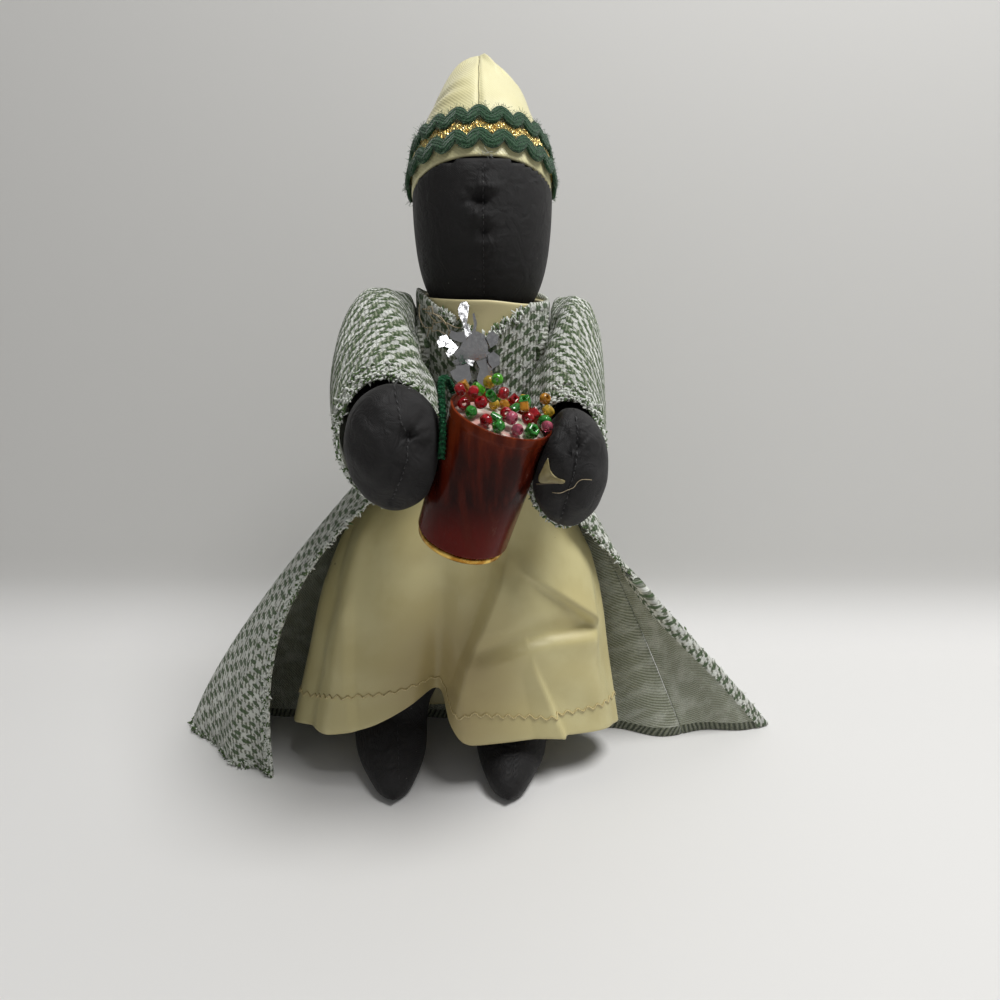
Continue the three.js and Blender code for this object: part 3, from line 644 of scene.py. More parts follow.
for side_name, hip, ankle, toe in (("right", hips[0], -44, -39.6), ("left", hips[1], 12.5, 10.5)):
    leg = make_leg(side_name + "_leg_stuffed", hip, ankle, toe)
    padded_piece(leg, side_name + "_leg", side_name + "_leg")
    on_leg = surface_of(leg, (0, 0, -1))
    seam = [(np.interp(y, [-52, -18], [toe, ankle]) + foot_seam, y, 60) for y in np.arange(-30, -52, -1.5)]
    sewing = stitches(seam, on_leg, 2.4, 1.3, 0.15)
    leg_stitching = threads_piece(side_name + "_foot_stitching", sewing, black_thread)
    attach(leg_stitching, side_name + "_leg")

# Gown: a tube of olive cream satin from the collar to the hem, with one deep fold between the legs.
# It hangs from the torso. The hem is turned up and held by a line of zigzag stitches.
# Rows: height, half width, reach to the front, reach to the back, middle x
gown_rows = [
    [22, 76, 42.5, 6, -13.5],
    [53, 69, 39, 12, -12.5],
    [88, 61.5, 33.5, 16, -11],
    [119, 49, 27.5, 19.6, -9],
    [138, 34.6, 25.3, 21.3, -4.5],
    [150, 25.2, 24, 22.4, -0.2],
    [190, 25, 23.8, 23.2, 0],
    [208, 25, 23.6, 23.2, 0],
    [213, 25.5, 24.3, 24.2, 0],
]
gown_hem = 22
gown_top = 213
gown_half_width, gown_half_depth = 25.0, 23.6  # above the waist, where the arm holes are
folds_from = 150
fold_scale = 62  # millimetres on the gown for each radian, near the hem
fold_place = math.radians(-6)
gown_cloth = 1.0
# Soft folds in the front: height pushed out in mm, its spread, and its line of (angle, height)
gown_folds = [
    (-2.2, 5, [(1.05, 73), (0.678, 73.5), (0.399, 71), (0.15, 68)]),
    (2.3, 13, [(-0.526, 112), (-0.488, 88), (-0.484, 68), (-0.459, 22)]),
    (-3.6, 10, [(-0.201, 100), (-0.209, 66), (-0.205, 22)]),
    (-2.2, 10, [(-1.342, 108), (-1.173, 82), (-1.228, 58), (-1.194, 22)]),
    (2.0, 8, [(1.549, 100), (1.524, 79), (1.562, 55), (1.532, 22)]),
    (1.6, 7, [(-0.95, 112), (-0.85, 80), (-0.82, 50), (-0.8, 22)]),
    (-1.6, 5, [(0.02, 140), (0.2, 118), (0.36, 100)]),
    (1.4, 4, [(-0.3, 138), (-0.05, 122), (0.2, 112)]),
]
# Sharp folds: height in mm, width of the step, how far the cloth takes to fall back, and the fold's line.
# The cloth stands out on the left of each line, seen in the way that the line is drawn.
gown_steps = [
    (8.0, 2.2, 24, [(0.332, 108), (0.222, 94), (0.133, 78), (0.044, 61), (-0.049, 22)]),
    (7.0, 2.0, 13, [(0.332, 107), (0.467, 100), (0.683, 91.5), (0.877, 83), (1.05, 76)]),
    (5.6, 2.3, 20, [(1.02, 70), (0.678, 70.5), (0.399, 68), (0.2, 64)]),
    (5.0, 2.0, 15, [(0.71, 22), (0.619, 42.5), (0.547, 56), (0.505, 68)]),
    (3.2, 2.2, 12, [(-0.62, 30), (-0.7, 52), (-0.78, 80)]),
]


def near(angle, place, width):
    """1 at a place round a circle, and softly less over a width to both sides."""
    return bell(np.arctan2(np.sin(angle - place), np.cos(angle - place)), width)


def from_line(across, up, line):
    """Distance of points from a line of straight pieces, all in millimetres."""
    best = np.full(np.shape(across), 1e9)
    for (x0, y0), (x1, y1) in zip(line, line[1:]):
        dx, dy = x1 - x0, y1 - y0
        t = np.clip(((across - x0) * dx + (up - y0) * dy) / (dx * dx + dy * dy), 0, 1)
        best = np.minimum(best, np.hypot(across - x0 - t * dx, up - y0 - t * dy))
    return best


def beside_line(across, up, line):
    """How far points lie to the left of a line of straight pieces, and past its ends, in millimetres."""
    best = np.full(np.shape(across), 1e9)
    side, past = np.zeros_like(best), np.zeros_like(best)
    for (x0, y0), (x1, y1) in zip(line, line[1:]):
        length = math.hypot(x1 - x0, y1 - y0)
        dx, dy = (x1 - x0) / length, (y1 - y0) / length
        along = (across - x0) * dx + (up - y0) * dy
        left = dx * (up - y0) - dy * (across - x0)
        over = np.maximum(0, np.maximum(-along, along - length))
        nearer = np.hypot(left, over) < best
        best = np.where(nearer, np.hypot(left, over), best)
        side = np.where(nearer, left, side)
        past = np.where(nearer, over, past)
    return side, past


def on_flat_gown(line):
    """A line of (angle, height) in millimetres on the flat gown."""
    return [(angle * fold_scale, height) for angle, height in line]


def gown_points(angle, height):
    """The outer face of the gown at an angle from the front and a height, before the hem's lift."""
    angle, height = np.broadcast_arrays(np.asarray(angle, float), np.asarray(height, float))
    read = flowing(gown_rows, height.ravel()).reshape(height.shape + (4,))
    heights, *sizes = zip(*gown_rows)
    straight = np.stack([np.interp(height, heights, size) for size in sizes], -1)
    wide, front, back, middle = np.moveaxis(0.7 * read + 0.3 * straight, -1, 0)
    hang = np.maximum(0, (folds_from - height) / (folds_from - gown_hem))
    fold = near(angle, fold_place, 0.1)
    ripple = 0.022 * np.sin(7 * angle + 0.6) * (1 - near(angle, fold_place, 0.4))
    draw = 1 + hang * hang * (ripple - 0.5 * fold)
    x = middle + wide * (1 + hang * ripple) * np.sin(angle)
    y = (back - front) / 2 - (front + back) / 2 * draw * np.cos(angle)
    turn = (angle + math.pi) % (2 * math.pi) - math.pi  # from -pi to pi, 0 at the front
    rise = np.where(turn < fold_place, near(angle, fold_place, 0.4), fold)
    lift = hang**3 * (7 * np.cos(angle) - 3 + 17 * rise)
    push = np.zeros_like(x)
    for amount, spread, line in gown_folds:
        away = from_line(turn * fold_scale, height, on_flat_gown(line))
        push += amount * bell(away, spread)
    highest = np.zeros_like(x)
    for amount, sharp, fade, line in gown_steps:
        side, past = beside_line(turn * fold_scale, height, on_flat_gown(line))
        step = amount * smoothly(-sharp, sharp, side) * np.exp(-np.maximum(0, side) / fade - (past / 9) ** 2)
        highest = np.maximum(highest, step)
    push += highest * smoothly(118, 96, height)
    wrinkle = 0.3 * np.sin(0.21 * height + 5 * angle) * smoothly(150, 120, height)
    push += wrinkle * smoothly(0, 0.5, np.cos(turn))
    push *= smoothly(150, 126, height)
    outward = unit(np.stack([np.sin(angle), -1.3 * np.cos(angle), np.zeros_like(x)], -1))
    collar = -2.6 * smoothly(0, 25, x) * smoothly(203, gown_top, height)
    return np.stack([x, y, height + lift + collar], -1) + outward * push[..., None]


def cloth_shell(name, outer, inner, closed, materials, flat_map, keep=None, region_of=None):
    """A sheet of cloth from two grids of points, [column][row], joined round every edge.
    keep says which grid squares are cloth, flat_map is the place of each grid point on the flat cloth,
    and region_of gives the materials of a square's two faces."""
    columns, rows = outer.shape[:2]
    steps = columns if closed else columns - 1
    if keep is None:
        keep = np.ones((steps, rows - 1), bool)
    count = columns * rows
    points = np.concatenate([outer.reshape(-1, 3), inner.reshape(-1, 3)])
    faces, corners, regions = [], [], []

    def add(places, region):
        """One face through four places, each a column, a row and 1 for the back of the cloth."""
        faces.append([(column % columns) * rows + row + back * count for column, row, back in places])
        corners.extend(flat_map[column, row] for column, row, _ in places)
        regions.append(region)

    def add_edge(first, second, region):
        """A face across the cloth's thickness, between two neighbouring grid points."""
        add([(*first, 0), (*first, 1), (*second, 1), (*second, 0)], region)

    for c in range(steps):
        for r in range(rows - 1):
            if not keep[c, r]:
                continue
            outside, inside = region_of(c, r) if region_of else (0, min(1, len(materials) - 1))
            add([(c, r, 0), (c + 1, r, 0), (c + 1, r + 1, 0), (c, r + 1, 0)], outside)
            add([(c, r + 1, 1), (c + 1, r + 1, 1), (c + 1, r, 1), (c, r, 1)], inside)
            if not ((closed or c > 0) and keep[(c - 1) % steps, r]):
                add_edge((c, r + 1), (c, r), outside)
            if not ((closed or c < steps - 1) and keep[(c + 1) % steps, r]):
                add_edge((c + 1, r), (c + 1, r + 1), outside)
            if not (r > 0 and keep[c, r - 1]):
                add_edge((c, r), (c + 1, r), outside)
            if not (r < rows - 2 and keep[c, r + 1]):
                add_edge((c + 1, r + 1), (c, r + 1), outside)
    used = sorted({i for face in faces for i in face})
    renumber = {old: new for new, old in enumerate(used)}
    faces = [[renumber[i] for i in face] for face in faces]
    return add_piece(name, points[used], faces, materials, corners, regions)


def thickness_normals(grid, closed):
    """Which way a grid of points faces, [column][row]."""
    if closed:
        across = np.roll(grid, -1, 0) - np.roll(grid, 1, 0)
    else:
        across = np.gradient(grid, axis=0)
    return unit(np.cross(across, np.gradient(grid, axis=1)))


def pull_together(outer, inner, edge, share):
    """Brings two faces of a cloth together along one edge of their grids, in place."""
    middle = (outer[edge] + inner[edge]) / 2
    for face in (outer, inner):
        face[edge] = middle + (face[edge] - middle) * share


def round_edges(outer, inner, rows=(0, -1)):
    """Both faces of a cloth with their first and last rows pulled together, so that these edges are round."""
    outer, inner = outer.copy(), inner.copy()
    for row in rows:
        pull_together(outer, inner, np.s_[:, row], 0.45)
    return outer, inner


def on_flat_cloth(tree):
    """Where each point is on the flat cloth, in millimetres."""
    return wire(tree, "UVMap", uv_map="flat_cloth")


gown_satin, tree, sockets = new_finish("gown_satin", Roughness=0.42, Sheen_Weight=0.12, Sheen_Roughness=0.4)
satin_tree, satin_in, satin_out = effect("satin_floats", {"Pitch": 0.4}, ["Height", "Cloud"])
satin_place = on_flat_cloth(satin_tree)
satin_stretch = wire(satin_tree, "Mapping", {"Vector": satin_place, "Scale": (2.4, 0.55, 1.0)})
satin_grain = mottle(satin_tree, satin_stretch, maths(satin_tree, "DIVIDE", 1.0, satin_in["Pitch"]))
satin_cloud = mottle(satin_tree, satin_place, 0.045, 3.0)
satin_tree.links.new(satin_grain, satin_out["Height"])
satin_tree.links.new(satin_cloud, satin_out["Cloud"])
floats = apply_effect(tree, satin_tree, Pitch=0.55)
dirt = apply_effect(tree, speck_tree, Spacing=0.011, Size=0.0006, Share=0.2)
silk = dye(tree, between(tree, floats["Cloud"], 0.35, 0.65), tint(198, 186, 132), tint(208, 198, 146))
silk = dye(tree, maths(tree, "MULTIPLY", floats["Height"], 0.14), silk, tint(224, 215, 168))
# painted shade under the cup and arms: the gown is browner and darker in the middle, left of the notch in the
# hem
painted_shade_scale = (20.0, 20.0, 18.0)
painted_shade_middle = (-0.012, -0.023, 0.052)
shift = tuple(-s * m for s, m in zip(painted_shade_scale, painted_shade_middle))
painted_shade_place = wire(tree, "Mapping", {"Vector": by_place(tree), "Location": shift, "Scale": painted_shade_scale})
painted_shade_under_cup = wire(tree, "TexGradient", {"Vector": painted_shade_place}, 1, gradient_type="SPHERICAL")
patchy = between(tree, floats["Cloud"], 0.3, 0.6, 0.7, 1.0)
painted_shade_under_cup = maths(tree, "MULTIPLY", between(tree, painted_shade_under_cup, 0.0, 0.8, 0.0, 0.7), patchy)
# painted shade: mixes the satin towards a dark brown where the cup and arms shade the gown
silk = dye(tree, painted_shade_under_cup, silk, tint(150, 128, 80))
# painted light: the gown is lighter towards the collar, where more light falls on it
painted_collar_light = between(tree, x_y_z(tree, by_place(tree))["Z"], 0.16, 0.2)
silk = dye(tree, painted_collar_light, silk, tint(226, 214, 164))
grubby = maths(tree, "MULTIPLY", dirt["Mask"], 0.6)
paint(tree, sockets, dye(tree, grubby, silk, tint(96, 84, 52)))
raise_up(tree, sockets, floats["Height"], 0.00008)

gown_columns = 300
gown_turns = all_round(gown_columns)
gown_turns = gown_turns - 0.55 * np.sin(gown_turns)
skirt_heights, bodice_heights = np.linspace(25, 150, 84), np.linspace(152, 211.5, 34)
gown_heights = np.r_[gown_hem, 22.5, 23.5, skirt_heights, bodice_heights, 212.4, gown_top]
gown_outer = gown_points(gown_turns[:, None], gown_heights[None, :])
gown_facing = thickness_normals(gown_outer, True)
gown_inner = gown_outer - gown_facing * gown_cloth
gown_outer, gown_inner = round_edges(gown_outer, gown_inner)
map_turns = np.r_[gown_turns, 2 * math.pi]
gown_map = np.stack(np.broadcast_arrays(map_turns[:, None] * fold_scale, gown_heights[None, :]), -1)
arm_line = 190


def beside_hole(grid, radius):
    """How far outside an arm hole each point lies, seen from the side."""
    return np.hypot(grid[..., 1], grid[..., 2] - arm_line) - radius


def snap_to_hole(grid, radius, half_width, half_depth):
    """Moves the points nearest an arm hole onto its edge, on the oval of the body."""
    grid = grid.copy()
    away = beside_hole(grid, radius)
    close = (np.abs(away) < 1.6) & (np.abs(grid[..., 0]) > 8)
    centre = np.stack([grid[..., 1], grid[..., 2] - arm_line], -1)
    ring = unit(centre) * radius
    x = half_width * np.sqrt(np.maximum(0, 1 - (ring[..., 0] / half_depth) ** 2)) * np.sign(grid[..., 0])
    moved = np.stack([x, ring[..., 0], ring[..., 1] + arm_line], -1)
    return np.where(close[..., None], moved, grid)


def squares_outside(grid, radius, closed):
    """Which squares of a grid lie outside the arm holes."""
    away = beside_hole(grid, radius)
    hole = (away < -0.5) & (np.abs(grid[..., 0]) > 8)
    if closed:
        hole = np.concatenate([hole, hole[:1]])
    return ~(hole[:-1, :-1] | hole[1:, :-1] | hole[:-1, 1:] | hole[1:, 1:])


gown_arm_hole = 12
gown_outer = snap_to_hole(gown_outer, gown_arm_hole, gown_half_width, gown_half_depth)
gown_inner = snap_to_hole(gown_inner, gown_arm_hole,
                          gown_half_width - gown_cloth, gown_half_depth - gown_cloth)
gown = cloth_shell("gown_satin_tube", gown_outer, gown_inner, True, [gown_satin], gown_map,
                   squares_outside(gown_outer, gown_arm_hole, True))
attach(gown, "root")
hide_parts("gown")

gown_thread = twisted_thread("gown_thread", (168, 148, 96), (216, 202, 150), 500.0, 1.0, 0.00006, 0.5)
# The line that the hem's stitches follow: angle and height on the cloth
hem_line = [
    (-math.pi, 36), (-1.207, 36.4), (-0.776, 41.8), (-0.471, 40.5), (-0.273, 37.4), (-0.1, 33),
    (-0.032, 31.2), (0.099, 39.4), (0.273, 36.4), (0.547, 33), (0.776, 33.3), (1.063, 34.6), (math.pi, 36),
]
zigzag_pitch = 5.0
zigzag_reach = 1.15
zigzag_angles = np.arange(-math.pi, math.pi, 0.0105)
middle_heights = np.interp(zigzag_angles, *zip(*hem_line))
line_steps = walked(gown_points(zigzag_angles, middle_heights))
saw = np.abs((line_steps / zigzag_pitch) % 1 - 0.5) * 4 - 1
zigzag = gown_points(zigzag_angles, middle_heights + zigzag_reach * saw)
facing = unit(np.stack([np.sin(zigzag_angles), -np.cos(zigzag_angles), 0 * zigzag_angles], -1))
zigzag = zigzag + facing * 0.25
hem_stitching = threads_piece("gown_hem_stitching", [thread(zigzag, 0.38, 5)], gown_thread)
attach(hem_stitching, "root")

# Coat: green and white knitted tweed in three panels, sewn at the sides and closed over the chest.
# Below the waist it falls open. The front edges and the hem are turned in and overlocked.
coat_half_width = 27.6
coat_half_depth = 26.5
coat_top = 213
waist = 165
coat_cloth = 1.6
# Columns from the right front edge round the back to the left front edge:
# angle round the waist, hem x, hem y, and how soon the column swings out
coat_columns = [
    [0.4, -99, -36, 2.9],
    [45, -125, -21, 1.6],
    [90, -150, 9, 1.18],
    [135, -78, 14, 1.05],
    [180, -5, 12, 1],
    [225, 55, 2, 1],
    [270, 98, -2, 1.05],
    [359.6, 143, 6, 1.05],
]
right_seam, left_seam = 2, 6


def hem_curve(place):
    """The hem seen from above: a smooth line through the columns' ends."""
    ends = np.array([[x, y] for _, x, y, _ in coat_columns], float)
    steps = walked(ends, 0.5)
    return flowing(np.c_[steps, ends], np.interp(place, range(len(ends)), steps))


def coat_points(place, height):
    """The outer face of the coat at a place among its columns and a height."""
    place, height = np.broadcast_arrays(np.asarray(place, float), np.asarray(height, float))
    last = len(coat_columns) - 1
    turns, _, _, swings = zip(*coat_columns)
    angle = np.radians(np.interp(place, range(last + 1), turns))
    swing = np.interp(place, range(last + 1), swings)
    waist_x, waist_y = -coat_half_width * np.sin(angle), -coat_half_depth * np.cos(angle)
    hem = hem_curve(np.clip(place, 0, last).ravel()).reshape(place.shape + (2,))
    drop = np.clip((waist - height) / waist, 0, 1)
    out = 1 - (1 - drop) ** swing
    ripple = 2.2 * drop * drop * np.sin(2 * math.pi * place)
    x = waist_x + (hem[..., 0] - waist_x) * out
    y = waist_y + (hem[..., 1] - waist_y) * drop + ripple
    return np.stack([x, y, height], -1)


# The knitted tweed: staggered rows of white slubs with green yarn between them, on fine upright ribs.
# Sizes are in millimetres on the flat cloth. Loose is how unevenly the yarns lie, as a share of Spacing.
tweed_inputs = {"Spacing": 5.8, "Row": 3.4, "Tilt": 0.0, "Loose": 0.2, "Dot Long": 1.6, "Dot High": 1.0,
                "Dot Rise": 0.0, "Slub Long": 2.2, "Slub High": 1.3}
tweed_outputs = ["Dot", "Slub", "Height", "Rib", "Tone"]
tweed_tree, tweed_in, tweed_out = effect("knitted_tweed", tweed_inputs, tweed_outputs)


def t_math(operation, first, second=0.0, third=0.0):
    """One sum inside the tweed."""
    return maths(tweed_tree, operation, first, second, third)


tweed_place = on_flat_cloth(tweed_tree)
tweed_wander = mottle(tweed_tree, tweed_place, 0.9, 3.0).node.outputs["Color"]
tweed_centred = wire(tweed_tree, "VectorMath", {0: tweed_wander, 1: (0.5, 0.5, 0.5)}, operation="SUBTRACT")
tweed_wandered = {0: tweed_centred, 1: (1.9, 1.5, 0.0), 2: tweed_place}
tweed_uv = x_y_z(tweed_tree, wire(tweed_tree, "VectorMath", tweed_wandered, operation="MULTIPLY_ADD"))


def yarn(offset, rise, long_name, high_name):
    """1 on a yarn that shows once in each cell of the knit, 0 beside it, and a random tone for each."""
    rows = t_math("ADD", t_math("DIVIDE", tweed_uv["Y"], tweed_in["Row"]), rise)
    row = t_math("FLOOR", rows)
    shift = t_math("MULTIPLY_ADD", t_math("MODULO", row, 2.0), 0.5, offset)
    columns = t_math("ADD", t_math("DIVIDE", tweed_uv["X"], tweed_in["Spacing"]), shift)
    column = t_math("FLOOR", columns)
    cell = wire(tweed_tree, "CombineXYZ", {0: row, 1: column, 2: offset})
    chance = wire(tweed_tree, "TexWhiteNoise", {"Vector": cell}, 1)
    chance = wire(tweed_tree, "SeparateColor", {"Color": chance}).node.outputs
    along = t_math("SUBTRACT", t_math("SUBTRACT", columns, column), 0.5)
    up = t_math("SUBTRACT", t_math("SUBTRACT", rows, row), 0.5)
    along = t_math("MULTIPLY_ADD", t_math("SUBTRACT", chance[0], 0.5), tweed_in["Loose"], along)
    up = t_math("MULTIPLY_ADD", t_math("SUBTRACT", chance[1], 0.5), tweed_in["Loose"], up)
    along = t_math("MULTIPLY", along, tweed_in["Spacing"])
    up = t_math("MULTIPLY", up, tweed_in["Row"])
    up = t_math("SUBTRACT", up, t_math("MULTIPLY", along, tweed_in["Tilt"]))
    size = t_math("MULTIPLY_ADD", chance[2], 0.5, 0.75)
    long = t_math("DIVIDE", along, t_math("MULTIPLY", tweed_in[long_name], size))
    long = t_math("POWER", t_math("ABSOLUTE", long), 2.0)
    high = t_math("POWER", t_math("ABSOLUTE", t_math("DIVIDE", up, tweed_in[high_name])), 2.0)
    return between(tweed_tree, t_math("ADD", long, high), 1.35, 0.7), chance[2]


dot_mask, _ = yarn(0.0, tweed_in["Dot Rise"], "Dot Long", "Dot High")
slub_shape, slub_tone = yarn(0.5, 0.0, "Slub Long", "Slub High")
slub_mask = t_math("MULTIPLY", slub_shape, t_math("SUBTRACT", 1.0, dot_mask))
rib_pitch = 1.9
tweed_rib = t_math("SINE", t_math("MULTIPLY", tweed_uv["X"], 2 * math.pi / rib_pitch))
tweed_rib = t_math("MULTIPLY_ADD", tweed_rib, 0.5, 0.5)
yarn_lie = {"Vector": tweed_place, "Rotation": (0, 0, 0.6), "Scale": (1.0, 3.0, 1.0)}
tweed_yarn = mottle(tweed_tree, wire(tweed_tree, "Mapping", yarn_lie), 1.5, 3.0)
tweed_height = t_math("ADD", t_math("MULTIPLY", slub_mask, 0.6), t_math("MULTIPLY", dot_mask, 0.3))
tweed_height = t_math("ADD", tweed_height, t_math("MULTIPLY", tweed_yarn, 0.4))
tweed_height = t_math("ADD", tweed_height, t_math("MULTIPLY", tweed_rib, 0.3))
tweed_tree.links.new(dot_mask, tweed_out["Dot"])
tweed_tree.links.new(slub_mask, tweed_out["Slub"])
tweed_tree.links.new(tweed_height, tweed_out["Height"])
tweed_tree.links.new(t_math("MULTIPLY", tweed_rib, tweed_yarn), tweed_out["Rib"])
tweed_tree.links.new(slub_tone, tweed_out["Tone"])


def tweed_finish(name, ground, light, slub, dot, dot_dark, depth, **sizes):
    """One tweed with its own colours and knit sizes."""
    material, tree, sockets = new_finish(name, Roughness=0.9, Sheen_Weight=0.15, Sheen_Roughness=0.6,
                                         Specular_IOR_Level=0.3)
    knit = apply_effect(tree, tweed_tree, **sizes)
    fibre = mottle(tree, on_flat_cloth(tree), 2.6, 3.0)
    colour = dye(tree, between(tree, knit["Rib"], 0.1, 0.45), tint(*ground), tint(*light))
    cover = maths(tree, "MULTIPLY", knit["Slub"], between(tree, fibre, 0.3, 0.5, 0.45, 1.0))
    shade = tuple(int(c * 0.86) for c in slub)
    colour = dye(tree, cover, colour, dye(tree, knit["Tone"], tint(*shade), tint(*slub)))
    green = dye(tree, between(tree, fibre, 0.35, 0.65), tint(*dot_dark), tint(*dot))
    paint(tree, sockets, dye(tree, maths(tree, "MULTIPLY", knit["Dot"], 0.94), colour, green))
    raise_up(tree, sockets, knit["Height"], depth)
    return material


skirt_tweed = tweed_finish(
    "coat_skirt_tweed", (122, 128, 110), (224, 226, 216), (234, 236, 228), (84, 108, 64), (48, 70, 42),
    0.0009, Spacing=6.6, Row=3.9, Dot_Long=2.1, Dot_High=1.05, Slub_Long=2.2, Slub_High=1.4, Loose=0.3)

wrong_side, tree, sockets = new_finish("coat_wrong_side", Roughness=0.93, Sheen_Weight=0.2)
place = on_flat_cloth(tree)
slanted = wire(tree, "Mapping", {"Vector": place, "Rotation": (0, 0, 0.35)})
rib_size = {"Vector": slanted, "Scale": 0.3, "Distortion": 1.2, "Detail": 2.0, "Detail Scale": 2.0}
rib = wire(tree, "TexWave", rib_size, 1, bands_direction="Y")
cloud = mottle(tree, place, 0.12, 4.0)
grain = mottle(tree, place, 1.6, 3.0)
back_colour = dye(tree, rib, tint(124, 128, 106), tint(180, 183, 166))
back_colour = dye(tree, between(tree, cloud, 0.42, 0.7, 0.0, 0.6), back_colour, tint(206, 208, 196))
back_colour = dye(tree, between(tree, grain, 0.35, 0.7, 0.0, 0.4), back_colour, tint(96, 102, 76))
paint(tree, sockets, back_colour)
raise_up(tree, sockets, maths(tree, "ADD", rib, grain), 0.0003)

hem_overlock, tree, sockets = new_finish("coat_hem_overlock", Roughness=0.9, Sheen_Weight=0.2)
place = on_flat_cloth(tree)
loop_size = {"Vector": place, "Scale": 0.13, "Distortion": 3.0, "Detail": 2.0}
loops = wire(tree, "TexWave", loop_size, 1, bands_direction="X")
fine = mottle(tree, place, 1.4, 3.0)
band = dye(tree, loops, tint(58, 66, 44), tint(142, 145, 124))
paint(tree, sockets, dye(tree, between(tree, fine, 0.4, 0.7, 0.0, 0.5), band, tint(40, 50, 34)))
raise_up(tree, sockets, maths(tree, "ADD", loops, fine), 0.0008)

facing_width = 7.0
hem_band = 6.0


def mottled_finish(name, dark, light, scale, depth, **plain):
    """A plain finish in two tones of one colour, finely mottled."""
    material, tree, sockets = new_finish(name, **plain)
    mottled = mottle(tree, by_place(tree), scale)
    paint(tree, sockets, dye(tree, mottled, tint(*dark), tint(*light)))
    raise_up(tree, sockets, mottled, depth)
    return material


white_yarn = mottled_finish("white_yarn", (196, 200, 190), (238, 240, 234), 1100.0, 0.0001,
                            Roughness=0.9, Sheen_Weight=0.2)
green_yarn = mottled_finish("green_yarn", (48, 72, 38), (98, 122, 68), 1100.0, 0.0001,
                            Roughness=0.9, Sheen_Weight=0.2)
yarn_long = (0.9, 1.9)
yarn_thick = 0.42
yarn_taper = np.array([0.5, 1, 1.1, 0.9, 0.4])


def yarn_ends(name, points, facing, along, count, material, seed, lean):
    """Short loose ends of yarn that stand off a cloth at random places.
    facing and along are directions at each point, and lean is how far the ends stand up."""
    random = np.random.default_rng(seed)
    share = np.linspace(0, 1, 5)[:, None]
    strands = []
    for number in random.integers(0, len(points), count):
        way = facing[number] * random.uniform(0.0, lean) + along[number] * random.uniform(-1, 1)
        way = unit(way + random.normal(size=3) * 0.16)
        bend = random.normal(size=3) * 0.4 - facing[number] * 0.35
        path = points[number] + random.normal(size=3) * 0.25 + way * share * random.uniform(*yarn_long)
        thick = yarn_thick * random.uniform(0.6, 1.2)
        strands.append(thread(path + bend * share**2, thick * yarn_taper, 5))
    return threads_piece(name, strands, material)


def edge_yarns(label, body, points, facing, along, counts, seed, lean=0.35):
    """White and green yarn ends along one edge of the coat."""
    pieces = []
    for material, count, colour in ((white_yarn, counts[0], "white"), (green_yarn, counts[1], "green")):
        name = f"{label}_{colour}_ends"
        ends = yarn_ends(name, points, facing, along, count, material, seed + len(pieces), lean)
        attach(ends, body)
        pieces.append(ends)
    return pieces


vee_foot = 199.5


def vee_top(x, y):
    """How high the coat's fronts reach: they are cut away in a V at the neck."""
    slope = vee_foot + (np.abs(x) - 1.2) * (coat_top + 2 - vee_foot) / 23.8
    shoulder = coat_top + 2.8 * smoothly(-15, -25, x) - 1.6 * smoothly(12, 22, x)
    front = np.minimum(shoulder, np.maximum(slope, vee_foot))
    return np.where(y < 0, front, coat_top + (shoulder - coat_top) * smoothly(16, 0, y))


def distance(away):
    """The length of each step between two places."""
    return np.linalg.norm(away, axis=-1)


coat_arm_hole = 15


def coat_panel(name, start, end, columns, front_edge):
    """One panel of the coat. front_edge is which end is a turned front edge: first, last or none."""
    places = np.linspace(start, end, columns)
    upper = np.linspace(0, 1, 26)[:-1]
    lower = np.r_[waist - (waist - 0.7) * np.linspace(0, 1, 76), 0.1]
    base = coat_points(places, np.full(columns, 190.0))
    tops = vee_top(base[:, 0], base[:, 1])
    bodice = tops[:, None] + (waist - tops[:, None]) * upper
    heights = np.concatenate([bodice, np.broadcast_to(lower, (columns, len(lower)))], 1)
    outer = coat_points(places[:, None], heights)
    step = 0.02
    along = coat_points(places[:, None] + step, heights) - coat_points(places[:, None] - step, heights)
    along[..., 2] = 0
    along = unit(along)
    inward = np.stack([along[..., 1], -along[..., 0], np.zeros(along.shape[:2])], -1)
    inner = outer + inward * coat_cloth
    if front_edge:
        # the turned edge is two layers thick, and soft where it folds
        gap = distance(outer - (outer[:1] if front_edge == "first" else outer[-1:]))
        folded = smoothly(facing_width + 1, facing_width - 1, gap) * smoothly(waist, waist - 12, heights)
        inner += inward * (0.9 * folded)[..., None]
    across = np.concatenate([np.zeros((1, heights.shape[1])), np.cumsum(distance(np.diff(outer, axis=0)), 0)])
    down = np.concatenate([np.zeros((columns, 1)), np.cumsum(distance(np.diff(outer, axis=1)), 1)], 1)
    flat_map = np.stack([across + start * 40, -down], -1)
    outer, inner = round_edges(outer, inner)
    for column in (0, -1):
        pull_together(outer, inner, column, 0.5)
    outer = snap_to_hole(outer, coat_arm_hole, coat_half_width, coat_half_depth)
    inner = snap_to_hole(inner, coat_arm_hole, coat_half_width - coat_cloth, coat_half_depth - coat_cloth)
    keep = squares_outside(outer, coat_arm_hole, False)

    def region_of(column, row):
        """Tweed outside. Inside, tweed on the turned edge, overlock on the hem, else the wrong side."""
        height = heights[column, row]
        gap = distance(outer[column, row] - outer[0 if front_edge == "first" else -1, row])
        if front_edge and gap < facing_width and height < waist:
            return 0, 0
        if height < hem_band + 1:
            return 0, 2
        return 0, 1

    finishes = [skirt_tweed, wrong_side, hem_overlock]
    return cloth_shell(name, outer, inner, False, finishes, flat_map, keep, region_of), outer


panel_gap = 0.003
last_column = len(coat_columns) - 1
coat_right_front, right_grid = coat_panel("coat_right_front_panel", 0, right_seam - panel_gap, 70, "first")
coat_back, _ = coat_panel("coat_back_panel", right_seam + panel_gap, left_seam - panel_gap, 130, None)
coat_left_front, left_grid = coat_panel("coat_left_front_panel", left_seam + panel_gap, last_column,
                                        60, "last")


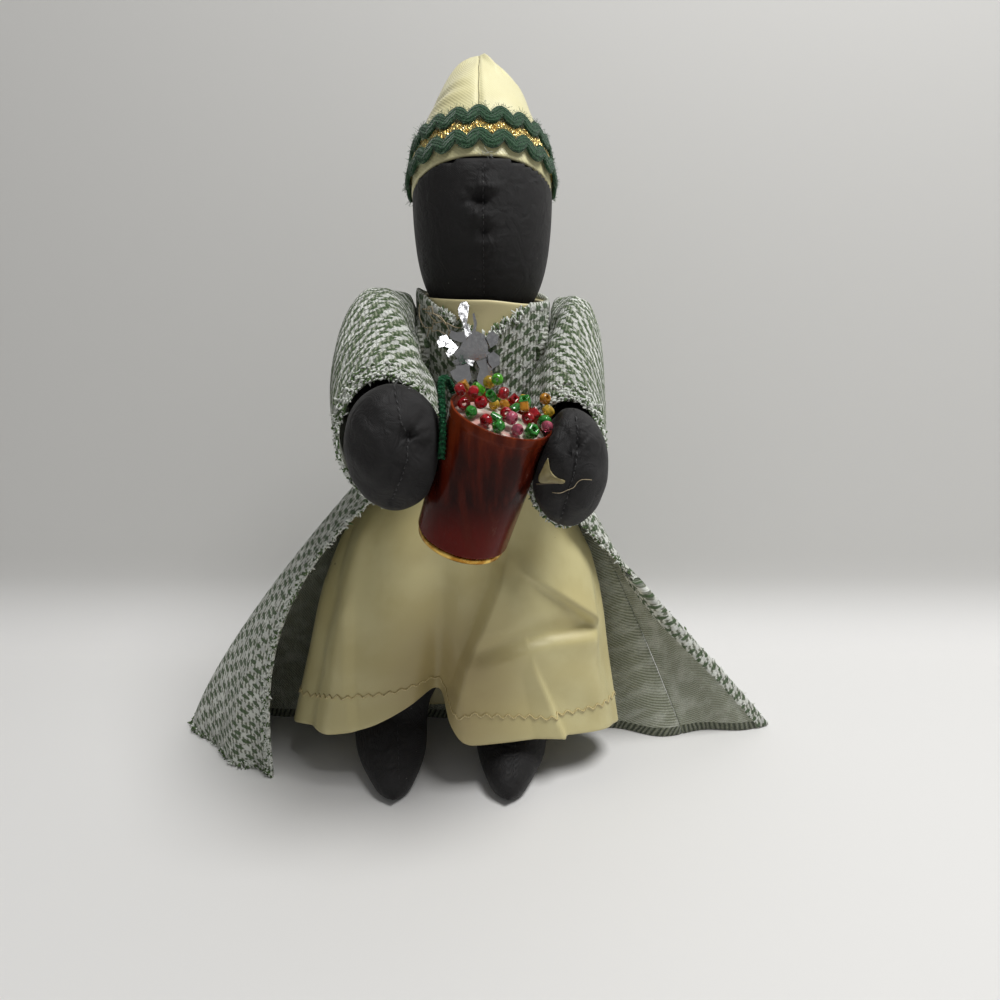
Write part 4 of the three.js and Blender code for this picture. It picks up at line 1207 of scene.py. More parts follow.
def edge_of(grid, columns, rows):
    """Places on part of a panel, with the way they face and the way their edge runs."""
    facing = -thickness_normals(grid, False)
    along = unit(np.gradient(grid, axis=1))
    return [part[columns, rows].reshape(-1, 3) for part in (grid, facing, along)]


def armhole_band(name, side):
    """The seam allowance that stands up round an arm hole, as a soft narrow roll."""
    turn = all_round(72)[:, None]
    share = np.linspace(0, 1, 9)[None, :]
    ripple = 1 + 0.02 * np.sin(9 * turn) + 0.012 * np.sin(23 * turn + 1)
    swell = 1.1 * np.sin(math.pi * share)
    pair = []
    for radius in (16.4, 15.2):
        y, z = (radius + swell) * ripple * np.sin(turn), (radius + swell) * ripple * np.cos(turn)
        root = coat_half_width * np.sqrt(np.maximum(0, 1 - (y / coat_half_depth) ** 2)) - 1.2
        pair.append(np.stack([side * (root + (27.3 - root) * share), y, z + arm_line], -1))
    outer, inner = round_edges(*pair)
    if side < 0:
        outer, inner = outer[::-1], inner[::-1]
    flat_map = np.stack(np.broadcast_arrays(np.linspace(0, 104, 73)[:, None], -6 * share), -1)
    band = cloth_shell(name, outer, inner, True, [skirt_tweed], flat_map)
    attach(band, "root")
    return band


first_skirt_row = 27
# Label, columns and rows of the panel's grid, counts of white and green ends, seed, and how far they stand up
right_edges = [
    ("right_edge", slice(0, 3), slice(first_skirt_row, None), (620, 300), 21, 0.1),
    ("right_hem", slice(0, None), slice(-3, None), (130, 130), 25, 0.1),
    ("right_neck", slice(0, 28), slice(0, 2), (170, 80), 27, 0.35),
]
left_edges = [
    ("left_edge", slice(-3, None), slice(first_skirt_row, None), (420, 200), 23, 0.1),
    ("left_neck", slice(-24, None), slice(0, 2), (150, 70), 29, 0.35),
]
right_ends, left_ends = [], []
for edges, grid, panel_ends in ((right_edges, right_grid, right_ends), (left_edges, left_grid, left_ends)):
    for label, columns, rows, counts, seed, lean in edges:
        panel_ends += edge_yarns(label, "root", *edge_of(grid, columns, rows), counts, seed, lean)
right_ends.append(armhole_band("right_armhole_band", -1))
left_ends.append(armhole_band("left_armhole_band", 1))
for panel, node, flat, area, ends in (
        (coat_right_front, "coat_right_front", (0.075, 0.24), 0.0104, right_ends),
        (coat_back, "coat_back", (0.255, 0.225), 0.0315, []),
        (coat_left_front, "coat_left_front", (0.05, 0.235), 0.0066, left_ends)):
    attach(panel, "root")
    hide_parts(node)

# Cup: a tube of scuffed amber plastic, glued between the hands. Its shape is set here because
# the hands and the sleeves close round it. A gold ring is pressed under its foot.
cup_base = np.array([-7.2, -56, 129.5])
cup_axis = Vector((0.289, -0.15, 0.935)).normalized()
cup_turn = np.array(Vector((0, 0, 1)).rotation_difference(cup_axis).to_matrix())
cup_height = 51
cup_foot_radius = 17.6
cup_rim_radius = 18.7
# The beads stand above the rim, so the hands and sleeves keep clear of this much more
beads_high = 9


def on_cup(points):
    return np.asarray(points, float) @ cup_turn.T + cup_base


def off_cup(points):
    return (np.asarray(points, float) - cup_base) @ cup_turn


def clear_of_cup(points, room=0.35):
    """Moves points that would be inside the cup out to its side."""
    local = off_cup(points)
    far = np.hypot(local[..., 0], local[..., 1])
    above_rim = cup_rim_radius + 1.2
    wall = np.interp(local[..., 2], [-3.2, cup_height, cup_height + 1, cup_height + beads_high],
                     [cup_foot_radius + room, cup_rim_radius + room, above_rim, above_rim])
    inside = (local[..., 2] > -3.3) & (local[..., 2] < cup_height + beads_high) & (far < wall)
    share = np.where(inside, wall / np.maximum(far, 1e-6), 1)[..., None]
    local = np.concatenate([local[..., :2] * share, local[..., 2:]], -1)
    return on_cup(local)


def band_faces(rows, places):
    """The faces of a closed band of points, [row][place], whose last row joins its first."""
    return [[k * places + i, k * places + (i + 1) % places,
             (k + 1) % rows * places + (i + 1) % places, (k + 1) % rows * places + i]
            for k in range(rows) for i in range(places)]


cup_around = 96


def turned_for_cup(name, profile, material):
    """A round rigid piece on the cup's axis, from a closed profile of (radius, height)."""
    rings = rings_of(profile, cup_around)
    return add_piece(name, on_cup(rings.reshape(-1, 3)), band_faces(len(profile), cup_around), material)


def eased(profile, radius):
    """Rounds every corner of a closed profile."""
    profile = np.asarray(profile, float)
    out = []
    for i, corner in enumerate(profile):
        before, after = profile[i - 1], profile[(i + 1) % len(profile)]
        back, on = before - corner, after - corner
        reach = min(radius, 0.45 * np.linalg.norm(back), 0.45 * np.linalg.norm(on))
        start, end = corner + unit(back) * reach, corner + unit(on) * reach
        for t in np.linspace(0, 1, 4):
            out.append((1 - t) ** 2 * start + 2 * t * (1 - t) * corner + t * t * end)
    return out


# Colour down the cup: a painted glow of light through the plastic, orange at the rim and redder at the foot,
# dark between, with smeared and worn streaks along its height
amber, tree, sockets = new_finish("amber_plastic", IOR=1.4, Coat_Weight=0.05, Coat_Roughness=0.12,
                                  Specular_IOR_Level=0.12)
place = by_place(tree)
cup_low = float(in_frame(on_cup((0, 0, 0)))[2])
cup_high = float(in_frame(on_cup((0, 0, cup_height)))[2])
level = between(tree, x_y_z(tree, place)["Z"], cup_low - 0.004, cup_high + 0.004)
streak_lie = {"Vector": place, "Rotation": (0.0, -0.3, 0.0), "Scale": (1.0, 1.0, 0.16)}
streaks = mottle(tree, wire(tree, "Mapping", streak_lie), 190.0, 4.0)
dust = mottle(tree, place, 1400.0, 3.0)
patch = mottle(tree, place, 75.0, 3.0)
level = maths(tree, "ADD", level, between(tree, streaks, 0.3, 0.7, -0.14, 0.08))
# painted glow: these colours along the cup stand in for light passing through the plastic
painted_glow_ramp = tree.nodes.new("ShaderNodeValToRGB")
tree.links.new(level, painted_glow_ramp.inputs[0])
painted_glow_ramp.color_ramp.elements[0].color = tint(92, 17, 8)
painted_glow_ramp.color_ramp.elements[-1].color = tint(128, 54, 24)
for position, colour in ((0.3, (38, 9, 6)), (0.68, (50, 15, 8)), (0.84, (84, 27, 12))):
    painted_glow_ramp.color_ramp.elements.new(position).color = tint(*colour)
amber_colour = dye(tree, between(tree, streaks, 0.4, 0.7, 0.0, 0.5), painted_glow_ramp.outputs[0], tint(104, 30, 12))
smear = maths(tree, "MULTIPLY", between(tree, streaks, 0.55, 0.72), between(tree, patch, 0.45, 0.7))
smear = maths(tree, "MULTIPLY", smear, between(tree, dust, 0.45, 0.6, 0.08, 0.4))
paint(tree, sockets, dye(tree, smear, amber_colour, tint(132, 100, 88)))
tree.links.new(between(tree, smear, 0.0, 0.4, 0.16, 0.5), sockets["Roughness"])
raise_up(tree, sockets, maths(tree, "ADD", streaks, dust), 0.00008)

cup_wall = 1
inner_foot, inner_rim = cup_foot_radius - cup_wall, cup_rim_radius - cup_wall
cup_profile = [
    (0.05, 0), (cup_foot_radius - 0.8, 0), (cup_foot_radius, 0.8), (cup_rim_radius - 0.4, cup_height - 4),
    (cup_rim_radius, cup_height - 3), (cup_rim_radius, cup_height), (inner_rim, cup_height),
    (inner_rim, cup_height - 16.5), (inner_foot, 1.4), (0.05, 1.4),
]
cup = turned_for_cup("cup_amber", eased(cup_profile, 0.45), amber)
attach(cup, "arms")
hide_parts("cup")

gold, tree, sockets = new_finish("gold_ring", Metallic=1.0)
place = by_place(tree)
worn = mottle(tree, place, 260.0, 4.0)
gold_colour = dye(tree, between(tree, worn, 0.35, 0.7), tint(168, 120, 48), tint(236, 200, 110))
paint(tree, sockets, gold_colour)
tree.links.new(between(tree, worn, 0.3, 0.7, 0.2, 0.42), sockets["Roughness"])
raise_up(tree, sockets, worn, 0.00008)
foot_profile = [(11, -2.9), (16.1, -2.9), (16.8, -2.2), (16.8, -0.8), (16.3, -0.3), (11, -0.3)]
foot_ring = turned_for_cup("cup_gold_ring", eased(foot_profile, 0.5), gold)
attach(foot_ring, "arms")
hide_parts("cup_foot_ring")

# Arms: stuffed black cotton tubes that end in mitten hands, seamed down the middle of the palm.
# The hands are glued to the cup, so both arms and the cup move as one.


def make_arm(name, side, reach, thick, hand_x, hand_z, hand_wide, hand_high):
    """An arm from its shoulder, out to its elbow's reach and forward to its hand."""
    elbow = 184
    stops = [
        [side * 23.6, 0, arm_line, 8.8, 8.8],
        [side * 29.6, 0, arm_line, 8.8, 8.8],
        [side * (reach - 5), -5, 189, 10.8, thick - 0.2],
        [side * reach, -15, elbow, 11.8, thick - 0.2],
        [side * reach, -29, part_way(elbow, hand_z, 0.55), 12.8, thick - 0.2],
        [part_way(side * reach, hand_x, 0.5), -43, part_way(elbow, hand_z, 0.9), 15.3, thick + 0.3],
        [part_way(side * reach, hand_x, 0.85), -54, hand_z + 0.5, hand_high * 0.82, hand_wide * 0.84],
        [hand_x, -64, hand_z, hand_high - 0.2, hand_wide - 0.2],
        [hand_x, -71, hand_z, hand_high * 0.87, hand_wide * 0.86],
        [hand_x, -76, hand_z, hand_high * 0.55, hand_wide * 0.5],
    ]
    rings = limb_rings(stops, (0, 0, 1), 44, 56)
    rings = clear_of_cup(rings, 0.8)
    arm = stuffed(name, rings, (side * 23.6, 0, arm_line), (hand_x, -78.8, hand_z))
    plump(arm, 0.7, slack=-0.03)
    smoothed(arm)
    return arm


# Seam down each hand: points on the front of the mitten, (x, z)
right_seam_line = [(-30.0, 190.5), (-28.0, 184), (-26.4, 178), (-24.2, 172.5), (-24.6, 165), (-27.0, 158),
                   (-31.5, 148)]
left_seam_line = [(33.0, 178), (33.6, 171), (33.0, 163), (31.0, 155), (29.5, 147), (28.5, 140)]


def sewn_hand(line, pinch, draw):
    """Seams a hand along a line and draws it in at the pinch, where a stitch pulls the cloth into rays."""
    def change(points):
        points = points.copy()
        x, y, z = points.T
        seam_away = from_line(x, z, line)
        across, up = x - pinch[0], z - pinch[1]
        seam = 0.7 * bell(seam_away, 0.9) + 0.45 * bell(seam_away, 4.0)
        pull = draw * bell(across, 2.6) * bell(up, 2.2)
        rays = 0.42 * np.sin(9 * np.arctan2(up, across)) * bell(np.hypot(across, up) - 3.5, 4)
        lumps = 0.5 * np.sin(0.34 * x + 0.5 * z) + 0.3 * np.sin(0.6 * z - 0.4 * x)
        points[:, 1] += smoothly(-58, -66, y) * (seam + pull + rays + 0.7 * lumps)
        return clear_of_cup(points)
    return change


right_arm = make_arm("right_arm_stuffed", -1, 42, 9.8, -30.5, 165.5, 17.5, 23)
reshape(right_arm, sewn_hand(right_seam_line, (-24.2, 172.5), 2.6))
left_arm = make_arm("left_arm_stuffed", 1, 37.4, 7.8, 31.5, 158, 14, 22)
reshape(left_arm, sewn_hand(left_seam_line, (33.4, 168), 1.9))
padded_piece(right_arm, "right_arm", "arms")
padded_piece(left_arm, "left_arm", "arms")
for arm, line, label in ((right_arm, right_seam_line, "right"), (left_arm, left_seam_line, "left")):
    sewing = stitches([(x, -100, z) for x, z in line], surface_of(arm, (0, 1, 0)), 2.2, 1.4, 0.26)
    hand_stitching = threads_piece(label + "_hand_stitching", sewing, black_thread)
    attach(hand_stitching, "arms")

# Sleeves: full at the shoulder and gathered into the arm hole, turned in at the cuff.
# They are cut from the same tweed, with its slubs lying across, and turn with the arms.
sleeve_tweed = tweed_finish(
    "coat_sleeve_tweed", (94, 112, 80), (164, 172, 146), (246, 248, 240), (86, 112, 60), (54, 80, 42), 0.0012,
    Spacing=5.6, Row=2.9, Tilt=0.42, Loose=0.42, Dot_Long=1.9, Dot_High=0.6, Dot_Rise=0.5,
    Slub_Long=2.8, Slub_High=1.2)

sleeve_root = 27.9
# Rings from the arm hole to the cuff: middle x, y and z, the way across (x, y), half width, half height
right_sleeve_rings = [
    [sleeve_root, 0, 188, 0.06, 1, 19, 20],
    [sleeve_root + 1.6, -1, 189, 0.18, 0.98, 20.6, 23.6],
    [sleeve_root + 3.6, -2, 189.3, 0.3, 0.95, 21, 24.8],
    [sleeve_root + 6.4, -4, 189.5, 0.5, 0.86, 20.2, 25.4],
    [sleeve_root + 11.6, -8, 189.5, 0.76, 0.65, 20.5, 27.5],
    [41.7, -20, 186, 0.98, 0.2, 17.7, 28.5],
    [38.7, -31, 178, 1, 0, 20.7, 27.5],
    [36.7, -41, 169.5, 1, 0, 20.7, 26.5],
    [34.3, -50, 163.3, 1, 0, 19.8, 25],
]
left_sleeve_rings = [
    [sleeve_root + 0.2, 0, 188.2, 0.08, 0.995, 18, 19.2],
    [sleeve_root + 1.6, -1, 188.4, 0.18, 0.98, 19, 22.4],
    [sleeve_root + 3.4, -2, 188.4, 0.3, 0.95, 19.2, 23.6],
    [sleeve_root + 5.6, -5, 188, 0.52, 0.85, 17.2, 24.2],
    [sleeve_root + 8.3, -9, 187.5, 0.76, 0.65, 15, 26.5],
    [36, -21, 182.5, 0.98, 0.2, 13, 28],
    [33, -31, 173.5, 1, 0, 15.2, 27.5],
    [32.5, -41, 163.5, 1, 0, 15.2, 26.5],
    [31.7, -50, 155.5, 1, 0, 14.8, 25.3],
]


def make_sleeve(name, side, rows, crease_place, seed):
    """A sleeve through its rings, with gathers at the arm hole and a crease at a place round it."""
    rows = np.asarray(rows, float)
    steps = walked(rows[:, :3])
    keys = np.r_[np.linspace(0, steps[-1] - 1.5, 46), steps[-1] - 0.8, steps[-1]]
    read = flowing(np.c_[steps, rows], keys)
    read[:, 3:5] = unit(read[:, 3:5])
    around = 112
    turn = all_round(around)[:, None]
    share = (keys / steps[-1])[None, :]
    crease = 1 - 0.1 * near(turn, crease_place, 0.28)
    gathers = 0.018 * np.sin(11 * turn + seed) * bell(share - 0.12, 0.2)
    sag = 0.012 * np.sin(5 * turn + 7 * share + seed) * smoothly(0.1, 0.5, share)
    hump = -0.035 * bell(share - 0.2, 0.05) * smoothly(-0.2, 0.5, np.sin(turn))
    x, y, z, dx, dy, wide, high = [column[None, :] for column in read.T]

    def grid(thin):
        across = (wide - thin) * np.cos(turn) * (crease + gathers + sag + hump)
        up = (high - thin) * np.sin(turn) * (crease + gathers + sag + hump)
        return np.stack([side * (x + dx * across), y + dy * across, z + up], -1)

    outer, inner = clear_of_cup(grid(0.0), 0.5), clear_of_cup(grid(coat_cloth), 0.5)
    girth = 2 * math.pi * np.sqrt((read[:, 5] ** 2 + read[:, 6] ** 2) / 2).mean()
    flat_turn = np.linspace(0, girth, around + 1)
    flat_map = np.stack(np.broadcast_arrays(flat_turn[:, None], -keys[None, :] * 1.2), -1)
    outer, inner = round_edges(outer, inner)
    if side > 0:
        outer, inner, flat_map = outer[::-1], inner[::-1], flat_map[::-1]
    return cloth_shell(name, outer, inner, True, [sleeve_tweed, wrong_side], flat_map), outer


right_sleeve, right_cuff = make_sleeve("right_sleeve_tweed", -1, right_sleeve_rings, math.radians(150), 0.4)
left_sleeve, left_cuff = make_sleeve("left_sleeve_tweed", 1, left_sleeve_rings, math.radians(140), 2.1)
for sleeve, cuff, node, inside, flat, label, seed in (
        (right_sleeve, right_cuff, "coat_right_sleeve", "right_arm_stuffed", (0.15, 0.062), "right_cuff", 41),
        (left_sleeve, left_cuff, "coat_left_sleeve", "left_arm_stuffed", (0.135, 0.058), "left_cuff", 51)):
    outward = unit(cuff - cuff.mean(0))
    along = unit(np.roll(cuff, -1, 0) - np.roll(cuff, 1, 0))
    band, rim = ([part[:, -rows:].reshape(-1, 3) for part in (cuff, outward, along)] for rows in (6, 2))
    ends = edge_yarns(label, "arms", *band, (520, 260), seed)
    ends += edge_yarns(label + "_rim", "arms", *rim, (300, 130), seed + 4, lean=0.2)
    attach(sleeve, "arms")
    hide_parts(node)

# Cap: a cone of cream satin with one seam up the front and a small tuck beside its point.
# It is pulled over the crown of the head and hides its upper edge.
cap_satin, tree, sockets = new_finish("cap_satin", Roughness=0.36, Sheen_Weight=0.15, Sheen_Roughness=0.35)
floats = apply_effect(tree, satin_tree, Pitch=0.5)
silk = dye(tree, between(tree, floats["Cloud"], 0.3, 0.7), tint(222, 214, 160), tint(234, 228, 180))
twill_size = {"Vector": on_flat_cloth(tree), "Scale": 0.42, "Distortion": 0.6}
twill = wire(tree, "TexWave", twill_size, 1, bands_direction="DIAGONAL")
silk = dye(tree, maths(tree, "MULTIPLY", twill, 0.22), silk, tint(200, 190, 138))
silk = dye(tree, maths(tree, "MULTIPLY", floats["Height"], 0.2), silk, tint(244, 240, 206))
paint(tree, sockets, silk)
raise_up(tree, sockets, maths(tree, "MULTIPLY_ADD", twill, 0.5, floats["Height"]), 0.0001)

cap_around = 144
cap_levels = np.r_[0, 0.5, 1.2, np.linspace(2.2, 56, 44), 57.5, 58.5, 59.5, 60.5, 61.3, 62, 62.5, 62.75]
front_seam = -math.pi / 2  # the seam is at the front
tuck_place = front_seam + 0.75
# Outer profile, rounder at the point
soft_cap_profile = cap_profile[:6]
soft_cap_profile += [[54, 10.8], [58, 8.0], [60.5, 5.6], [62, 3.2], [62.6, 1.6], [cap_height, 0.3]]


def cap_grid(inset, rise):
    """Points of the cap, [place round it][level], with its seam, its tuck and the ripples beside them."""
    turn = all_round(cap_around)[:, None]
    level = (cap_levels + rise)[None, :]
    smooth = flowing(soft_cap_profile, np.clip(cap_levels, 0, cap_height))[:, 0]
    radius = np.maximum(smooth - inset, 0.15)[None, :]
    seam = 0.75 * near(turn, front_seam, 0.035) - 0.25 * near(turn, front_seam + 0.07, 0.05)
    seam = seam * (smoothly(20, 26, level) + 0.15) * np.minimum(1, radius / 10)
    slant, under_point = 0.03 * (58 - level), smoothly(62.4, 59.5, level)
    tuck = 3.4 * near(turn, tuck_place + slant, 0.2) * smoothly(46, 53, level) * under_point
    ridge = 1.6 * near(turn, tuck_place - 0.42 + slant, 0.16) * smoothly(45, 52, level) * under_point
    ripple = 0.9 * near(turn, front_seam - 0.75, 0.55) * np.sin(0.62 * level + 1.2 * turn)
    ripple *= smoothly(22, 27, level) * smoothly(42, 33, level)
    sag = 0.7 * np.sin(3 * turn + 0.1 * level) + 0.5 * np.sin(5 * turn - 0.16 * level + 1) + ripple
    sag *= smoothly(22, 34, level) * smoothly(62, 54, level)
    radius = np.maximum(radius - seam - tuck + ridge - sag, 0.12)
    x = radius * np.cos(turn)
    y = radius * cap_depth_share * np.sin(turn)
    return np.stack([x, y, np.broadcast_to(level, x.shape)], -1)


cap_cloth = 1.4
cap_outer, cap_inner = cap_grid(0, 0), cap_grid(cap_cloth, -0.3)
cap_inner[:, :3, 2] = cap_outer[:, :3, 2]
cap_outer, cap_inner = round_edges(cap_outer, cap_inner, rows=(0,))
cap_map = np.stack(np.broadcast_arrays(np.linspace(0, 150, cap_around + 1)[:, None], cap_levels[None, :]), -1)
cap = cloth_shell("cap_satin_cone", on_cap(cap_outer), on_cap(cap_inner), True, [cap_satin], cap_map)
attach(cap, "cap")
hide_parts("cap")

seam_thread = mottled_finish("cap_seam_thread", (66, 58, 30), (128, 116, 70), 600.0, 0.00005, Roughness=0.7)
on_cone = surface_of(cap, unit(lean_turn @ np.array([0, 1, 0])))
seam_places = []
for level in np.arange(22.5, 60.5, 1.0):
    place, facing = on_cone(on_cap((0.15 * math.sin(level * 0.5), -40, level)))
    seam_places.append(place + facing * 0.02)
cap_seam = threads_piece("cap_front_seam", [thread(seam_places, 0.17, 5)], seam_thread)
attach(cap_seam, "cap")
# A few loose threads under the front of the brim
brim_radius = 27.3
brim_threads = []
random = np.random.default_rng(3)
for _ in range(16):
    turn = front_seam + 0.08 + random.normal() * 0.07
    root = np.array([brim_radius * math.cos(turn), brim_radius * cap_depth_share * math.sin(turn),
                     random.uniform(-0.3, 1.0)])
    way = np.array([random.normal() * 0.6, -0.7, random.uniform(-0.9, 0.3)])
    share = np.linspace(0, 1, 6)[:, None]
    path = root + way * share * random.uniform(1.0, 3.0) + random.normal(size=3) * 0.9 * share**2
    brim_threads.append(thread(on_cap(path), 0.07, 4))
brim_tuft = threads_piece("cap_brim_threads", brim_threads, white_yarn)
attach(brim_tuft, "cap")

# Trims: three wavy woven braids round the cap, a gold one with a green one over each of its edges.
# They are stitched on in step with each other and come off with the cap.
braid_waves = 20
braid_steps = 36
cap_girth = 26.5  # mm of arc for each radian, about the middle of the braids
braid_flat_width = 7
# Across a braid: (share of its width, how far it stands out)
braid_section = [(0, 0), (0, 0.5), (0.08, 0.82), (0.22, 1.02), (0.4, 1.1), (0.5, 1.0),
                 (0.6, 1.1), (0.78, 1.02), (0.92, 0.82), (1, 0.5), (1, 0)]


def braid_edges(turn, middle, swing, half, phase):
    """The lower and the upper edge of a wavy braid: round lobes with sharp notches between them."""
    reach = np.linspace(-half, half, 41)
    wave = middle + swing * np.sin(braid_waves * (turn[:, None] + reach / cap_girth) + phase)
    rounding = np.sqrt(np.maximum(0, half**2 - reach**2))
    return (wave - rounding).min(1), (wave + rounding).max(1)


def braid_rings(middle, swing, half, layer, phase, thick):
    """A wavy braid as lines of points round the cap, one for each place across it."""
    turn = np.linspace(0, 2 * math.pi, braid_waves * braid_steps, endpoint=False)
    low, high = braid_edges(turn, middle, swing, half, phase)
    rings = []
    for share, out in braid_section:
        level = low + (high - low) * share
        plait = 0.12 * np.sin(4 * braid_waves * 2 * turn + 11 * abs(share - 0.5)) * (out > 0.6)
        radius = cap_radius(level) + layer + out * thick + plait
        rings.append(np.stack([radius * np.cos(turn), radius * cap_depth_share * np.sin(turn), level], -1))
    return np.array(rings)


def braid_piece(name, rings, material):
    """The solid braid through its lines of points, with its place on the flat braid."""
    sides, steps = rings.shape[:2]
    step, across = cap_girth * 2 * math.pi / steps, braid_flat_width / sides
    corners = [((i + right) * step, (k + upper) * across) for k in range(sides) for i in range(steps)
               for right, upper in ((0, 0), (1, 0), (1, 1), (0, 1))]
    piece = add_piece(name, on_cap(rings.reshape(-1, 3)), band_faces(sides, steps), material, corners)
    piece.data.flip_normals()
    return piece


green_fibre = mottled_finish("green_fibre", (36, 70, 46), (84, 124, 84), 900.0, 0.00003,
                             Roughness=0.8, Sheen_Weight=0.3)
green_braid, tree, sockets = new_finish("green_braid", Roughness=0.95, Sheen_Weight=0.3, Sheen_Roughness=0.45,
                                        Specular_IOR_Level=0.2)
place = on_flat_cloth(tree)
cord_size = {"Vector": place, "Scale": 0.3, "Distortion": 5.0, "Detail": 3.0, "Detail Scale": 1.4}
cords = wire(tree, "TexWave", cord_size, 1, bands_direction="Y")
fuzz = mottle(tree, place, 2.4, 5.0)
wool_colour = dye(tree, between(tree, fuzz, 0.3, 0.7), tint(20, 46, 32), tint(52, 90, 60))
paint(tree, sockets, dye(tree, maths(tree, "MULTIPLY", cords, 0.18), wool_colour, tint(78, 118, 82)))
raise_up(tree, sockets, maths(tree, "MULTIPLY_ADD", cords, 0.5, fuzz), 0.0006)

gold_braid, tree, sockets = new_finish("gold_braid", Metallic=0.85)
glint_away, glint = cells(tree, on_flat_cloth(tree), 1.5)
paint(tree, sockets, dye(tree, glint, tint(168, 128, 52), tint(255, 236, 160)))
tree.links.new(between(tree, glint, 0.0, 1.0, 0.5, 0.2), sockets["Roughness"])
raise_up(tree, sockets, maths(tree, "ADD", glint, glint_away), 0.0007)

braid_phase = 1.4
lower_level, upper_level = 6.3, 17.3
green_swing, green_half = 2.15, 2.25
gold_rings = braid_rings(11.8, 2.2, 3.0, 0.3, braid_phase + math.pi, 0.9)
lower_rings = braid_rings(lower_level, green_swing, green_half, 1.2, braid_phase, 1.3)
upper_rings = braid_rings(upper_level, green_swing, green_half, 1.2, braid_phase, 1.3)
gold_trim = braid_piece("gold_wavy_braid", gold_rings, gold_braid)
lower_trim = braid_piece("green_braid_lower", lower_rings, green_braid)
upper_trim = braid_piece("green_braid_upper", upper_rings, green_braid)
# Loose fibres that stand off the green braids
random = np.random.default_rng(7)
fibres = []
for middle in (lower_level, upper_level):
    for turn in random.uniform(0, 2 * math.pi, 1500):
        low, high = braid_edges(np.array([turn]), middle, green_swing, green_half, braid_phase)
        level = float(low[0] + (high[0] - low[0]) * random.choice([0.0, 1.0, random.uniform()]))
        radius = float(cap_radius(level)) + 2.2
        root = np.array([radius * math.cos(turn), radius * cap_depth_share * math.sin(turn), level])
        out = np.array([math.cos(turn), math.sin(turn), 0])
        lean = random.normal(size=3) * [0.7, 0.7, 0.9] + out * 0.6
        bend = random.normal(size=3) * 0.35
        share = np.linspace(0, 1, 4)[:, None]
        hair = root + unit(lean) * share * random.uniform(0.5, 1.6) + bend * share**2
        fibres.append(thread(on_cap(hair), 0.06, 3, False))
braid_fuzz = threads_piece("green_braid_fuzz", fibres, green_fibre)
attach(braid_fuzz, "cap")
for trim, node, slot in ((gold_trim, "trim_gold", "gold_braid"),
                         (lower_trim, "trim_green_lower", "green_braid"),
                         (upper_trim, "trim_green_upper", "green_braid")):
    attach(trim, "cap")
    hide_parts(node)

# Filling: a plug of off-white padding that fills the mouth of the cup and carries the beads.
# It is pushed in by hand, and the beads' dye has stained it here and there.
filling, tree, sockets = new_finish("foam_filling", Roughness=0.95, Sheen_Weight=0.3)
place = by_place(tree)
wool = mottle(tree, place, 900.0, 5.0)
stain = mottle(tree, place, 160.0)
pale = dye(tree, wool, tint(196, 180, 166), tint(232, 224, 212))
stained = dye(tree, between(tree, stain, 0.46, 0.64, 0.0, 0.6), pale, tint(196, 104, 100))
stained = dye(tree, between(tree, stain, 0.4, 0.3, 0.0, 0.6), stained, tint(110, 140, 84))
paint(tree, sockets, stained)
raise_up(tree, sockets, wool, 0.0004)
foam_radius = inner_rim - 0.3
# Share of the plug's radius, and height in the cup: straight sides and a low dome
foam_levels = [
    (1, 36), (1, 41), (1, 46.4), (0.94, 47.6), (0.8, 48.2), (0.62, 48.9), (0.4, 49.5), (0.18, 49.8),
]
foam_profile = [(foam_radius - 0.4, 35.2)] + [(foam_radius * share, height) for share, height in foam_levels]
foam_rings = on_cup(rings_of(foam_profile, 48))
foam = stuffed("foam_plug", foam_rings, on_cup((0, 0, 35)), on_cup((0, 0, 49.9)), filling)
smoothed(foam)
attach(foam, "arms")
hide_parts("foam_filling")

# Beads: thirty-two moulded craft beads, round, square, faceted, tube and fluted, heaped on the filling.
# Each is clear coloured plastic, and keeps its own solid with its edges softened.
# The colours, and the numbers of the beads that have them
bead_colours = {
    "red": ((206, 26, 40), [1, 6, 7, 10, 11, 16, 21, 22, 29, 30]),
    "green": ((64, 178, 66), [2, 3, 9, 12, 14, 19, 23, 27, 32]),
    "lime": ((112, 222, 52), [24, 31]),
    "yellow": ((250, 210, 70), [15, 20, 25, 26]),
    "amber": ((240, 168, 46), [13, 17, 18, 28]),
    "pink": ((224, 108, 136), [4, 5, 8]),
}
for colour_name, (colour, numbers) in bead_colours.items():
    plastic, tree, sockets = new_finish("bead_" + colour_name, IOR=1.5, Transmission_Weight=0.5,
                                        Coat_Weight=0.3, Coat_Roughness=0.06)
    swirl = mottle(tree, by_place(tree), 420.0)
    deep = tuple(int(c * 0.74) for c in colour)
    paint(tree, sockets, dye(tree, between(tree, swirl, 0.35, 0.65), tint(*deep), tint(*colour)))
    tree.links.new(between(tree, swirl, 0.2, 0.8, 0.08, 0.24), sockets["Roughness"])
    raise_up(tree, sockets, swirl, 0.0001)
    for number in numbers:
        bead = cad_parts[f"bead_{number:02d}"]
        bead.data.materials.clear()
        bead.data.materials.append(plastic)
        weld = bead.modifiers.new("weld", "WELD")
        weld.merge_threshold = 0.00002
        ease = bead.modifiers.new("ease", "BEVEL")
        ease.width = 0.00035
        ease.segments = 2
        ease.limit_method = "ANGLE"
        ease.angle_limit = math.radians(25)
        ease.harden_normals = False

# Star: a paillette of mirror foil, cut with uneven lobes and sewn to the chest.
# Handling has bent it, so each part of it catches the light in its own way.
foil, tree, sockets = new_finish("silver_foil", Metallic=1.0)
place = by_place(tree)
scuff = mottle(tree, place, 700.0, 4.0)
paint(tree, sockets, dye(tree, scuff, tint(196, 196, 198), tint(232, 232, 234)))
tree.links.new(between(tree, scuff, 0.3, 0.7, 0.1, 0.26), sockets["Roughness"])
raise_up(tree, sockets, scuff, 0.00003)
star_place = np.array([-4.4, -27.0, 192.4])
